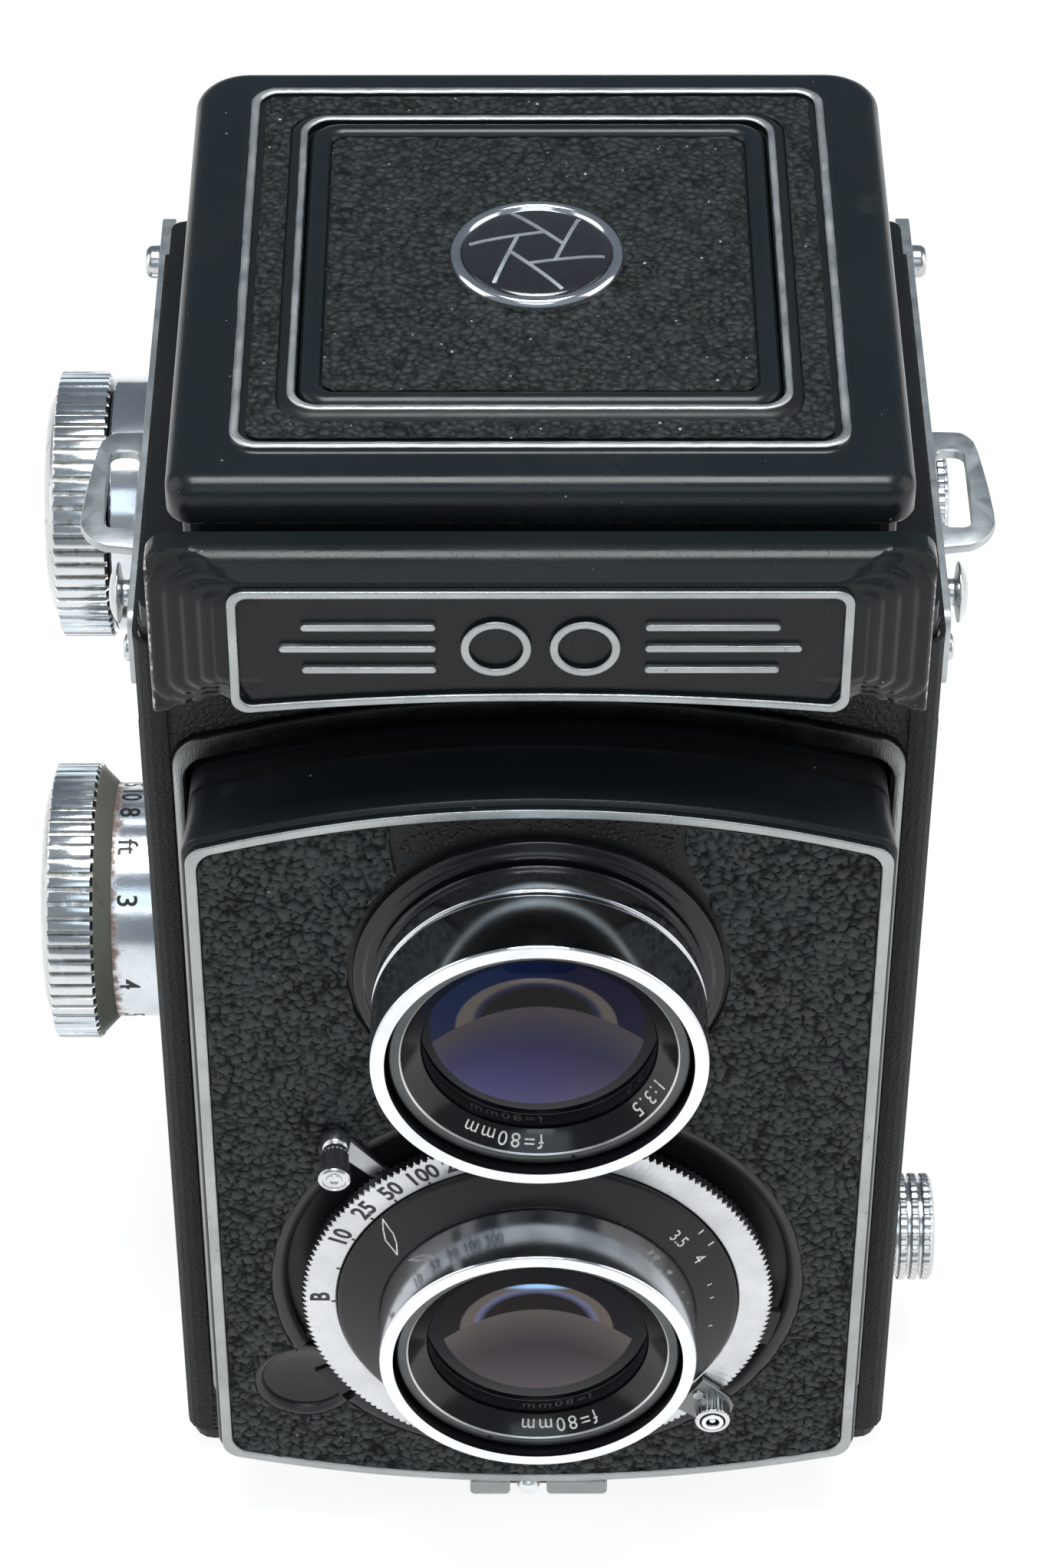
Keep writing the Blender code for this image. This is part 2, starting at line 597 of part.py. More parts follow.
# focusing knob: bevelled inner face, raised cap and drum
focusing_knob = knurled_knob("focus_knob", FOCUS, 14.7, -52.4, -47.6, origin_x=-50.0)
join(focusing_knob, lathe("X", FOCUS, [
    (0, -48.0), (13.9, -48.0), (13.9, -47.5), (12.6, -46.2), (0, -46.2)], 32))
join(focusing_knob, lathe("X", FOCUS, [
    (0, -52.0), (13.6, -52.0), (13.6, -52.6), (12.6, -53.1), (0, -53.3)], 32))
join(focusing_knob, lathe("X", FOCUS, tube(3.3, 12.4, -46.6, -38.3), 40))
piece("focus_shaft", lathe("X", FOCUS, [
    (0, -45.8), (3.1, -45.9), (3.1, -26.5), (6.0, -26.5), (6.0, -24.5), (0, -24.5)], 20),
    "steel", (-35.0, *FOCUS))

# pull-out spool holders with grooved heads
SPOOL_KNOB_PROFILE = [(0, 29.4), (1.5, 29.4), (1.5, 32.6), (2.8, 32.6), (2.8, 38.3),
                      (5.9, 38.3), (5.9, 39.2), (5.3, 39.5), (5.9, 39.8), (5.9, 40.7),
                      (5.3, 41.0), (5.9, 41.3), (5.9, 42.8), (5.2, 43.5), (0, 43.6)]
for name, centre in (("spool_knob_upper", WIND), ("spool_knob_lower", SUPPLY)):
    piece(name, lathe("X", centre, SPOOL_KNOB_PROFILE, 28), "chrome", (38.0, *centre))

# ================================================================= HOOD
LID_ORIGIN = (0, *LID_HINGE)
LID_TOP = 139.0
LID_BEVEL_Z = 138.3
PANEL_HALF_THICKNESS = 0.35
SIDE_PANEL_Z = 124.2
SIDE_PANEL_X = 30.3              # hinge line of the side panels
BACK_PANEL_Z = 127.4
BACK_PANEL_Y = 20.2              # hinge line of the back panel


def lid_outline(inset, front_radius, back_radius):
    return box_outline(33.55 - inset, -42.2 + inset, 22.6 - inset, front_radius, back_radius, 4)


# lid: tray with a bevelled top, hollow below, and an opening for the flap
lid = piece("hood_lid", prism(lid_outline(0, 2.6, 5.0), "Z", 134.6, 138.4), "paint", LID_ORIGIN)
join(lid, prism(lid_outline(0, 2.6, 5.0), "Z", LID_BEVEL_Z, LID_TOP,
                lid_outline(0.7, 2.0, 4.4)))
cut(lid, prism(lid_outline(0.8, 1.8, 4.2), "Z", 130.0, 138.1))
cut(lid, prism(rounded_rect(-20.4, 20.4, -28.5, 12.1, 3.2, 3), "Z", 130.0, 145.0))
piece("lid_leather", ring(rounded_rect(-27.0, 27.0, -35.6, 19.1, 1.8, 3),
                          rounded_rect(-23.2, 23.2, -31.5, 15.6, 3.0, 3),
                          "Z", LID_TOP + THIN_GAP, LID_TOP + 0.35), "leather", LID_ORIGIN)
piece("lid_trim", ring(rounded_rect(-28.0, 28.0, -36.6, 20.1, 2.6),
                       rounded_rect(-27.15, 27.15, -35.75, 19.25, 1.8),
                       "Z", LID_TOP + THIN_GAP, LID_TOP + 0.5), "satin", LID_ORIGIN)
piece("finder_flap", prism(rounded_rect(-20.0, 20.0, -28.1, 11.7, 3.0), "Z", 137.5, 139.5),
      "paint", LID_ORIGIN)
piece("hood_badge", lathe("Z", (-0.2, -7.4), [
    (0, 139.6), (7.95, 139.6), (7.95, 140.3), (7.2, 140.8), (6.7, 140.5), (3.0, 140.9),
    (0, 141.0)], 36), "chrome", LID_ORIGIN)


# folding walls, flat at rest: left and right lowest, the back wall above them
def hood_panel(name, points, z, hinge_x, hinge_y):
    mesh = prism(points, "Z", z - PANEL_HALF_THICKNESS, z + PANEL_HALF_THICKNESS)
    piece(name, mesh, "black", (hinge_x, hinge_y, z))


# side panel: (distance in from the hinge line, y)
SIDE_PANEL = [(0.0, -39.3), (0.0, 18.6), (1.2, 18.6), (29.6, -10.2), (29.6, -30.2),
              (11.0, -39.3)]
for name, side in (("hood_panel_left", -1), ("hood_panel_right", 1)):
    points = [(side * (SIDE_PANEL_X - inward), y) for inward, y in SIDE_PANEL]
    hood_panel(name, points, SIDE_PANEL_Z, side * SIDE_PANEL_X, -10.0)
shoulder_y = BACK_PANEL_Y - 18
tip_y = BACK_PANEL_Y - 30.0
hood_panel("hood_panel_back", [
    (-29.4, BACK_PANEL_Y), (29.4, BACK_PANEL_Y), (29.4, shoulder_y), (24.0, tip_y),
    (-24.0, tip_y), (-29.4, shoulder_y)], BACK_PANEL_Z, 0, BACK_PANEL_Y)

MAGNIFIER_PIVOT = (0, -12.0, 132.6)
MAGNIFIER_CENTRE = (0, 3.0)      # x, y
magnifier = piece("magnifier_frame", prism(rounded_rect(-15.5, 15.5, -13.0, 17.0, 2.5, 3),
                                           "Z", 131.9, 133.3), "black", MAGNIFIER_PIVOT)
cut(magnifier, lathe("Z", MAGNIFIER_CENTRE, rod(11.6, 128, 138), 32))
piece("magnifier_lens", lathe("Z", MAGNIFIER_CENTRE, [
    (0, 131.3), (6.0, 131.6), (11.3, 132.3), (11.3, 132.9), (6.0, 133.6), (0, 133.9)], 32),
    "glass", MAGNIFIER_PIVOT)

# ================================================================= BACK DOOR
DOOR_ORIGIN = (0, *DOOR_HINGE)
BUSH_AXIS = (0, 0)               # x, y

# an L of back and bottom plates, left over when the inside of a block is cut away
door = piece("back_door", prism(box_outline(BODY_HX, -37.3, 37.35, 2.2, 2.0, 4),
                                "Z", 1.4, 107.8), "paint", DOOR_ORIGIN)
cut(door, prism(rect(-60, 35.95, 2.9, 130), "X", -60, 60))
# hinge knuckle between the shell's lugs, and its bore
join(door, prism([(36.0, 107.2), (37.35, 107.2), (37.9, 109.2), (37.6, 110.9), (36.2, 110.9),
                  (35.75, 109.6)], "X", -30.6, 30.6))
cut(door, lathe("X", (DOOR_HINGE[0], DOOR_HINGE[1] - 0.05), rod(0.92, -40, 40), 16))
# hole for the tripod bush
cut(door, lathe("Z", BUSH_AXIS, rod(8.3, -5, 8), 32))
# feet
for x in (-30.0, 30.0):
    for y in (-29.0, 29.0):
        join(door, lathe("Z", (x, y), [
            (0, 0.0), (2.6, 0.0), (3.0, 0.4), (3.0, 1.9), (0, 1.9)], 16))
# film window
cut(door, prism(rounded_rect(-4.2, 4.2, 34.6, 43.0, 1.0, 2), "Y", 30, 45))

back_leather_y = 37.42
piece("back_leather", ring(rounded_rect(-36.9, 36.9, 4.0, 106.6, 1.5, 2),
                           rounded_rect(-8.6, 8.6, 30.2, 61.0, 1.5, 2),
                           "Y", back_leather_y, back_leather_y + LEATHER), "leather", DOOR_ORIGIN)
piece("pressure_plate", prism(rect(-29.5, 29.5, 33.4, 34.4), "Z", 9.0, 68.5), "black",
      DOOR_ORIGIN)
piece("tripod_bush", lathe("Z", BUSH_AXIS, tube(3.1, 8.0, 0.0, 3.6), 32), "chrome", DOOR_ORIGIN)

# latch ring round the bush, with a tab on either side
latch = piece("door_latch", lathe("Z", BUSH_AXIS, tube(8.5, 12.4, 0.45, 1.15), 40), "chrome",
              (0, 0, 0.8))
for side in SIDES:
    x0, x1 = sorted((side * 8.9, side * 15.6))
    join(latch, prism(rounded_rect(x0, x1, -2.2, 2.2, 1.6, 3), "Z", 0.3, 1.15))
piece("window_cover", prism(rounded_rect(-6.0, 6.0, 33.0, 45.0, 1.2, 3), "Y", 37.5, 38.3),
      "paint", (0, 37.9, 39.0))

# ================================================================= FRAME
for ob in bpy.data.objects:
    ob.location += Vector(FRAME_SHIFT) * MM
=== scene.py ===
"""Looks of a twin-lens box camera: viewing lens above taking lens, folded hood on top.

Lengths are millimetres from the axis of the tripod bush. The lenses look along -Y, +Z is up
and +X is right as seen from the front. The winding and focusing knobs stand out on the left,
the two spool holders on the right.
"""

import bpy
import bmesh
import math
import random
from math import cos, hypot, pi, radians, sin
from mathutils import Vector, Matrix, noise
from mathutils.geometry import delaunay_2d_cdt

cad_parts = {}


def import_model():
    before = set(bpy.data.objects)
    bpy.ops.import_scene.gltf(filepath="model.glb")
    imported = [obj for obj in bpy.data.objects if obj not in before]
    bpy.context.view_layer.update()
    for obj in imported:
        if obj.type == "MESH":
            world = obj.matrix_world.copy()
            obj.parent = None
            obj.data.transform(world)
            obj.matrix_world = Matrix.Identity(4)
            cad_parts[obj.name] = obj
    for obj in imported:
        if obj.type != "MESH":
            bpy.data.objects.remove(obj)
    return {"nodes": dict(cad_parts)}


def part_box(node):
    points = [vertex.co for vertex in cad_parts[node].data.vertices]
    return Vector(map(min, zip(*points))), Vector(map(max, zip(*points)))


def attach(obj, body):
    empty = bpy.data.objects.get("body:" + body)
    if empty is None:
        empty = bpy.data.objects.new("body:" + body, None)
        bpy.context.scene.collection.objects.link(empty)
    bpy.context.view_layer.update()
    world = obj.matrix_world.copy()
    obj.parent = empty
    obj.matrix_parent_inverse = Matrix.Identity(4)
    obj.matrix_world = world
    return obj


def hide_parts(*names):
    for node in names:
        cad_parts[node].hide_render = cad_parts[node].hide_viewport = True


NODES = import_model()["nodes"]
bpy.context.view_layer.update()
MM = 0.001
random.seed(7)

# place of the tripod bush in the frame
bush_low, bush_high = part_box("tripod_bush")
BUSH_X, BUSH_Y = ((bush_low[i] + bush_high[i]) * 500.0 for i in (0, 1))

TAKE_Z, VIEW_Z = 38.8, 83.5
TAKE_LENS, VIEW_LENS = (0.0, TAKE_Z), (0.0, VIEW_Z)                     # x, z
ADVANCE, FOCUS, SUPPLY = (20.0, 86.3), (-8.0, 55.0), (-20.0, 16.5)      # y, z
BOARD_Y = -47.5                   # front of the lens board
# board outlines: half width, top z, bottom z, corner radius
CASTING = (33.68, 105.75, 6.9, 2.0)
TRIMMED = (33.3, 105.1, 7.1, 2.0)
WELL_R = 27.15                    # well round the shutter
RECESS, RECESS_R = (-24.2, 23.4), 5.3   # finger recess at the lower left of the well
MOUNT_R = 16.0                    # lens barrels
VIEW_RING_Y, TAKE_RING_Y = -59.9, -58.0     # datum of the retaining rings
GLASS_R, GLASS_BULGE = 11.2, 2.4
VIEW_GLASS_Y, TAKE_GLASS_Y = -57.45, -55.55     # edge of the front glasses
ADVANCE_R, FOCUS_R, DRUM_R = 14.1, 14.7, 12.4
LID_FLOOR_Z = 139.02              # bed of the lid leather


# ===================================================================== material nodes
class Field:
    """A value in a node tree; arithmetic on it adds Math nodes."""

    def __init__(self, mat, socket):
        self.mat, self.socket = mat, socket

    def __add__(self, other):
        return self.mat.math("ADD", self, other)

    def __radd__(self, other):
        return self.mat.math("ADD", other, self)

    def __sub__(self, other):
        return self.mat.math("SUBTRACT", self, other)

    def __rsub__(self, other):
        return self.mat.math("SUBTRACT", other, self)

    def __mul__(self, other):
        return self.mat.math("MULTIPLY", self, other)

    def __truediv__(self, other):
        return self.mat.math("DIVIDE", self, other)

    def __lt__(self, other):
        return self.mat.math("LESS_THAN", self, other)

    def __gt__(self, other):
        return self.mat.math("GREATER_THAN", self, other)

    def __abs__(self):
        return self.mat.math("ABSOLUTE", self)

    def step(self, low, high):
        """0 below low, 1 above high, smooth between"""
        return self.mat.field("MapRange", 0, {"Value": self, "From Min": low, "From Max": high},
                              interpolation_type="SMOOTHSTEP")

    def span(self, low, high, start=0.0, end=1.0):
        """low..high carried over to start..end"""
        return self.mat.field("MapRange", 0, {
            "Value": self, "From Min": low, "From Max": high, "To Min": start, "To Max": end})


class Mat:
    """A Principled material; lengths in its textures are millimetres."""

    def __init__(self, name, base, rough, metallic=0.0, spec=0.5, **inputs):
        self.material = bpy.data.materials.new(name)
        self.material.use_nodes = True
        self.tree = self.material.node_tree
        self.tree.nodes.clear()
        output = self.node("OutputMaterial")
        self.shader = self.node("BsdfPrincipled")
        self.tree.links.new(self.shader.outputs[0], output.inputs[0])
        self.coords = self.field("TexCoord", "Object")
        self.coords = self.scaled((1 / MM,) * 3)
        self.set("Base Color", base)
        self.set("Roughness", rough)
        self.set("Metallic", metallic)
        self.set("Specular IOR Level", spec)
        for key, value in inputs.items():
            self.set(key.replace("_", " "), value)

    def node(self, kind, inputs=None, **settings):
        node = self.tree.nodes.new("ShaderNode" + kind)
        for key, value in settings.items():
            setattr(node, key, value)
        for key, value in (inputs or {}).items():
            self.link(value, node.inputs[key])
        return node

    def field(self, kind, output, inputs=None, **settings):
        return Field(self, self.node(kind, inputs, **settings).outputs[output])

    def link(self, value, socket):
        if isinstance(value, Field):
            self.tree.links.new(value.socket, socket)
        elif isinstance(value, tuple):
            socket.default_value = (*value, 1.0)[:len(socket.default_value)]
        else:
            socket.default_value = value

    def set(self, name, value):
        self.link(value, self.shader.inputs[name])

    def current(self, name):
        """what feeds a shader input now"""
        return Field(self, self.shader.inputs[name].links[0].from_socket)

    def scaled(self, scale, rotation=(0, 0, 0)):
        return self.field("Mapping", 0, {
            "Scale": scale, "Rotation": rotation, "Vector": self.coords})

    def noise(self, size, detail=3.0, rough=0.55, distortion=0.0, at=None, output="Fac"):
        return self.field("TexNoise", output, {
            "Scale": 1.0 / size, "Detail": detail, "Roughness": rough,
            "Distortion": distortion, "Vector": at or self.coords})

    def pushed(self, size, amount):
        """coordinates pushed about by noise"""
        shift = self.noise(size, detail=2, rough=0.5, output="Color")
        return self.field("VectorMath", 0, {0: shift, 1: (amount,) * 3, 2: self.coords},
                          operation="MULTIPLY_ADD")

    def cells(self, size, feature="F1", output="Distance", at=None, **inputs):
        return self.field("TexVoronoi", output, {
            "Scale": 1.0 / size, "Randomness": 1.0, **inputs, "Vector": at or self.coords},
            feature=feature)

    def split(self, value=None):
        node = self.node("SeparateXYZ", {0: value or self.coords})
        return [Field(self, socket) for socket in node.outputs]

    def math(self, operation, first, second=0.0):
        return self.field("Math", 0, {0: first, 1: second}, operation=operation)

    def mix(self, factor, first, second):
        return self.field("Mix", 2, {0: factor, 6: first, 7: second}, data_type="RGBA")

    def ramp(self, factor, stops):
        node = self.node("ValToRGB", {0: factor})
        elements = node.color_ramp.elements
        while len(elements) < len(stops):
            elements.new(0.5)
        for element, (position, colour) in zip(elements, stops):
            element.position = position
            element.color = (*colour, 1.0)
        return Field(self, node.outputs[0])

    def bump(self, height, distance):
        self.set("Normal", self.field("Bump", 0, {
            "Distance": distance * MM, "Strength": 1.0, "Height": height}))

    def lay_over(self, factor, colour):
        """a colour laid over the present base colour"""
        self.set("Base Color", self.mix(factor, self.current("Base Color"), colour))


def shade(colour, factor):
    return tuple(min(1.0, channel * factor) for channel in colour)


# ===================================================================== kinds of surface
RUST = (0.19, 0.075, 0.028)


def dust(mat, colour, amount=1.0, size=1.7):
    """sparse pale specks and faint smears over a colour; returns the colour and their mask"""
    distance = mat.cells(size)
    width, chance, _ = mat.split(mat.cells(size, output="Color"))
    radius = width.span(0.0, 1.0, 0.005, 0.075)
    specks = (distance < radius) * (chance > 1.0 - 0.42 * amount)
    smears = mat.noise(9.0, detail=5, rough=0.7).step(0.60, 0.84) * (0.035 * amount)
    mask = mat.math("MAXIMUM", specks * 0.42, smears)
    return mat.mix(mask, colour, (0.42, 0.40, 0.36)), mask


def paint(name, base=(0.0080, 0.0108, 0.0126), rough=0.27, wear=0.0, spec=0.28, dusty=1.0,
          peel=0.02):
    """dusty, finely scratched paint; wear bares metal, peel is the depth of the surface"""
    mat = Mat(name, base, rough, spec=spec)
    tone = mat.mix(mat.noise(26.0), shade(base, 0.8), shade(base, 1.3))
    colour, dirt = dust(mat, tone, dusty)
    sheen = mat.noise(14.0, detail=6, rough=0.65).span(0.3, 0.7, rough - 0.05, rough + 0.10)
    mat.set("Roughness", sheen + dirt * 0.5)
    along = mat.scaled((1.0, 0.06, 1.0), rotation=(0.2, 0.3, 0.5))
    scratches = mat.noise(0.22, detail=2, rough=0.4, at=along).step(0.66, 0.72)
    mat.bump(mat.noise(0.35, rough=0.6) * 0.35 + mat.noise(6.0, rough=0.6) * 0.5
             - scratches * 0.25, peel)
    if wear:
        bare = mat.noise(0.8, detail=5, rough=0.7).step(0.62 - 0.2 * wear, 0.66 - 0.2 * wear)
        colour = mat.mix(bare, colour, (0.42, 0.43, 0.43))
        mat.set("Metallic", bare)
    mat.set("Base Color", colour)
    return mat


def metal(name, base, rough, rust=0.0, grime=0.3, brush=None, fine=0.012, spots=0.0,
          rust_colour=RUST):
    """metal with grime, rust and dark spots; brush stretches a fine grain, fine is its depth"""
    mat = Mat(name, base, rough, 1.0)
    colour = mat.mix(mat.noise(7.0, detail=4, rough=0.6).span(0.35, 0.65),
                     shade(base, 0.86), shade(base, 1.06))
    dirt = mat.noise(1.3, detail=6, rough=0.7).step(0.60, 0.78) * grime
    colour = mat.mix(dirt, colour, (0.12, 0.10, 0.08))
    sheen = mat.noise(3.2, detail=5, rough=0.65).span(0.3, 0.7, rough * 0.8, rough * 1.35)
    sheen = sheen + dirt * 0.5
    if rust:
        patches = mat.noise(2.1, detail=6, rough=0.72, distortion=0.4)
        rusty = patches.step(0.70 - 0.22 * rust, 0.80 - 0.22 * rust) * 0.85
        brown = mat.mix(mat.noise(0.4), rust_colour, shade(rust_colour, 0.35))
        colour = mat.mix(rusty, colour, brown)
        sheen = sheen + rusty * 0.4
        mat.set("Metallic", 1.0 - rusty * 0.85)
    if spots:
        colour = mat.mix((mat.cells(0.9) < 0.12 * spots) * 0.8, colour, (0.06, 0.045, 0.035))
    mat.set("Base Color", colour)
    mat.set("Roughness", sheen)
    height = mat.noise(0.16, rough=0.6)
    if brush:
        height = height + mat.noise(0.12, detail=2, rough=0.5, at=mat.scaled(brush)) * 1.2
    mat.bump(height + mat.noise(2.2, detail=4, rough=0.6) * 1.4, fine)
    return mat


def grain(name, base, axis, bottom, crest, rough, spec, size, top, specks=0.0, worn=0.0):
    """Leather whose grains are in the mesh: bottom and crest are their places along the axis
    (0 X, 1 Y, 2 Z). Its colour carries painted shade in the creases and a painted highlight on
    the crests; top is how far the crests are brightened."""
    mat = Mat(name, base, rough, spec=spec)
    height = mat.split()[axis].span(bottom, crest)
    blotches = mat.noise(size * 4.0, detail=4, rough=0.7).span(0.3, 0.7, 0.7, 1.3)
    fine = mat.noise(size * 0.14, rough=0.7)
    # painted shade darkens the creases, painted highlight (top) lightens the crests
    colour = mat.ramp(height + (fine - 0.5) * 0.5, [
        (0.0, shade(base, 0.28)), (0.30, shade(base, 0.70)),
        (0.62, shade(base, 1.10)), (1.0, shade(base, top))])
    colour = mat.mix(blotches.span(0.7, 1.3, 0.0, 0.15), colour, shade(base, 0.6))
    if worn:
        rubbed = mat.noise(7.0, detail=6, rough=0.75).step(0.60, 0.78)
        rubbed = rubbed * (height.step(0.0, 0.6) * worn)
        colour = mat.mix(rubbed, colour, (0.085, 0.070, 0.055))
    # painted highlight: pale specks on the grain painted as glints
    if specks:
        distance = mat.cells(size)
        chance, width, _ = mat.split(mat.cells(size, output="Color"))
        shown = (distance < width.span(0, 1, 0.03, 0.17)) * (chance > 1.0 - specks)
        colour = mat.mix(shown * 0.6, colour, (0.46, 0.48, 0.48))
    colour, _ = dust(mat, colour, amount=0.5, size=2.3)
    mat.set("Base Color", colour)
    mat.set("Roughness", height.span(0.0, 1.0, rough + 0.25, rough - 0.04)
            + (fine - 0.5) * 0.25)
    mat.set("Specular IOR Level", height.span(0.1, 0.8, spec * 0.25, spec))
    mat.bump(fine + mat.noise(size * 0.45, rough=0.6) * 1.2, 0.045)
    return mat


def leather(name, base, size, depth, rough, spec):
    """pebbled covering whose relief is all in the material"""
    mat = Mat(name, base, rough, spec=spec)
    bent = mat.pushed(size * 2.2, size * 0.9)
    edge = mat.cells(size, "DISTANCE_TO_EDGE", at=bent)
    dome = 1.0 - mat.cells(size, "SMOOTH_F1", at=bent, Smoothness=0.4) * 1.1
    fine = mat.noise(size * 0.16, rough=0.7)
    height = (edge.step(0.0, 0.32) * 0.55 + dome * 0.45 + fine * 0.14
              + mat.noise(size * 7.0, rough=0.6) * 0.8)
    tone = mat.mix(mat.noise(size * 5, detail=4, rough=0.7).span(0.3, 0.7),
                   shade(base, 0.75), shade(base, 1.25))
    # painted shade: the creases between the grains are darkened
    creases = (1.0 - edge.step(0.0, 0.16)) * 0.85
    colour = mat.mix(creases, tone, shade(base, 0.25))
    # lighter grain tops: partly wear and partly a painted highlight on the domes
    worn = (dome * mat.noise(size * 1.7, detail=4, rough=0.7)).step(0.46, 0.66) * 0.35
    colour = mat.mix(worn, colour, tuple(channel * 2.3 + 0.01 for channel in base))
    colour, dirt = dust(mat, colour, amount=0.8, size=2.3)
    mat.set("Base Color", colour)
    mat.set("Roughness", fine.span(0.2, 0.8, rough - 0.08, rough + 0.10) + dirt * 0.3)
    mat.bump(height, depth)
    return mat


def ink(name, base, rough, size, limits, fresh, faded):
    mat = Mat(name, base, rough)
    worn = mat.noise(size, detail=4, rough=0.7).step(*limits)
    mat.set("Base Color", mat.mix(worn, fresh, faded))
    return mat


def glass_with_painted_reflections(name, centre, edge_y, side, low, band, inner, flare, horizon, stop, outer,
                 hole):
    """Front element with its reflections painted on and given out as emission, so that it
    glows;
    they are drawn on a plane square to the studio view, in millimetres from the middle of the
    lens seat. Horizon is (height, curve) of the line between the low and high painted
    reflections; stop, outer and hole are ellipses (across, up, two half axes); flare is
    (height, colour) of a painted highlight in the pale band."""
    view_up_y, view_up_z = 0.677, 0.736
    mat = Mat(name, (0.0008, 0.0008, 0.0012), rough=0.03, spec=0.16)
    x, y, z = mat.split()
    across = x - (centre[0] + BUSH_X)
    up = (z - centre[1]) * view_up_z + (y - (edge_y + BUSH_Y)) * view_up_y

    def ellipse(shape):
        """1 on the ellipse, less inside"""
        first = (across - shape[0]) / shape[2]
        second = (up - shape[1]) / shape[3]
        return first * first + second * second

    over = up - horizon[0] + across * across * horizon[1]
    in_outer, in_hole = ellipse(outer), ellipse(hole)
    # lower painted reflection: graded away from the horizon, tinted towards the left
    lower = mat.ramp(over.span(-9.0, 0.0, 1.0, 0.0), [(0.0, low[0]), (0.42, low[1]),
                                                      (1.0, low[2])])
    lower = mat.mix(across.span(-8.0, 8.0, 1.0, 0.0) * over.span(-8.0, -1.0, 1.0, 0.0),
                    lower, low[3])
    # upper part of the painted reflections: dark sides, pale arch, dark middle under the arch
    sides = mat.mix(across.span(-4.0, 4.0), side[0], side[1])
    middle = mat.ramp(in_hole.span(0.0, 1.0), [(0.0, inner[0]), (0.72, inner[0]),
                                               (1.0, inner[1])])
    # painted highlight: a bright patch near the top of the pale arch
    patch = abs(across).span(1.0, 4.5, 1.0, 0.0) * up.step(flare[0], flare[0] + 0.35)
    upper = mat.mix(1.0 - in_outer.step(0.95, 1.02), sides, mat.mix(patch, band, flare[1]))
    upper = mat.mix(1.0 - in_hole.step(0.86, 1.06), upper, middle)
    colour = mat.mix(over.step(-0.05, 0.05), lower, upper)
    rim = mat.mix(mat.noise(3.0, detail=4).step(0.4, 0.7),
                  (0.0008, 0.0010, 0.0018), (0.0020, 0.0024, 0.0045))
    colour = mat.mix(ellipse(stop).step(0.975, 1.015), colour, rim)
    haze = mat.noise(3.4, detail=6, rough=0.7).step(0.52, 0.85) * 0.30
    colour = mat.mix(haze, colour, mat.mix(0.5, colour, (0.05, 0.05, 0.055)))
    # the painted reflections are given out as emission, so the glass glows
    mat.set("Emission Color", colour)
    mat.set("Emission Strength", 1.0)
    mat.set("IOR", 1.45)
    mat.set("Roughness", 0.02 + haze * 0.4)
    mat.bump(mat.noise(5.0, detail=2), 0.0012)
    return mat


def rib_metal(name, centre, radius):
    """plated ribs with dirt and rust lying in the grooves between them"""
    mat = metal(name, (0.66, 0.69, 0.71), rough=0.16, rust=0.10, grime=0.35, fine=0.008,
                spots=0.4)
    _, y, z = mat.split()
    off_y, off_z = y - (centre[0] + BUSH_Y), z - centre[1]
    reach = mat.math("SQRT", off_y * off_y + off_z * off_z)
    groove = 1.0 - reach.step(radius - 0.40, radius - 0.16)
    dirt = groove * mat.noise(1.1, detail=5, rough=0.7).span(0.32, 0.66, 0.12, 0.85)
    mat.lay_over(dirt, mat.mix(mat.noise(0.5), (0.13, 0.11, 0.085), (0.30, 0.25, 0.19)))
    mat.set("Roughness", mat.current("Roughness") + dirt * 0.35)
    return mat


# ===================================================================== paints
PAINT = paint("paint_black")
PAINT_EDGE = paint("paint_worn_edge", rough=0.25, wear=0.55)
PAINT_LID = paint("paint_lid", (0.0062, 0.0088, 0.0104), rough=0.22, dusty=0.9)
BLACK = paint("hood_black_paint", (0.0060, 0.0074, 0.0085), rough=0.36, spec=0.26)
BLACK_SATIN = paint("black_satin", (0.0065, 0.0078, 0.0088), rough=0.33, dusty=0.8, spec=0.24)
BLACK_GLOSS = paint("black_gloss", (0.0030, 0.0036, 0.0046), rough=0.15, spec=0.42,
                    dusty=0.35, peel=0.008)
BLACK_MATTE = paint("interior_matt", (0.006, 0.0065, 0.007), rough=0.65, spec=0.25, dusty=0.3)
GLUE = paint("bare_glue_surface", (0.0052, 0.0056, 0.0054), rough=0.36, spec=0.30, peel=0.16)
LUMPS = paint("glue_lumps", (0.014, 0.0115, 0.0085), rough=0.50, spec=0.3, dusty=1.5, peel=0.1)
# painted highlight: the black rim of the well is given a lighter grey paint
RIM_PAINTED_HIGHLIGHT = paint("well_rim_painted_highlight", (0.020, 0.022, 0.023), rough=0.34, spec=0.4)
CONE = paint("cone_black", (0.0025, 0.0030, 0.0034), rough=0.12, spec=0.45, dusty=0.5,
             peel=0.006)
FACE = paint("shutter_face_black", (0.0040, 0.0048, 0.0056), rough=0.22, spec=0.34,
             dusty=0.9, peel=0.015)
NAMEPLATE = paint("nameplate_paint", (0.0062, 0.0086, 0.0096), rough=0.24, dusty=0.9,
                  peel=0.035, spec=0.24)
DOOR = paint("back_door_paint", (0.0078, 0.0100, 0.0116), rough=0.30, peel=0.03)
HOOD_BASE = paint("hood_base_black", (0.0070, 0.0088, 0.0100), rough=0.34, dusty=1.4, peel=0.03)
BEVEL = paint("bevel_olive", (0.19, 0.195, 0.165), rough=0.34, spec=0.6, dusty=0.6, peel=0.05)
BEVEL.lay_over(BEVEL.noise(1.6, detail=6, rough=0.75).step(0.56, 0.74) * 0.8,
               (0.15, 0.085, 0.05))

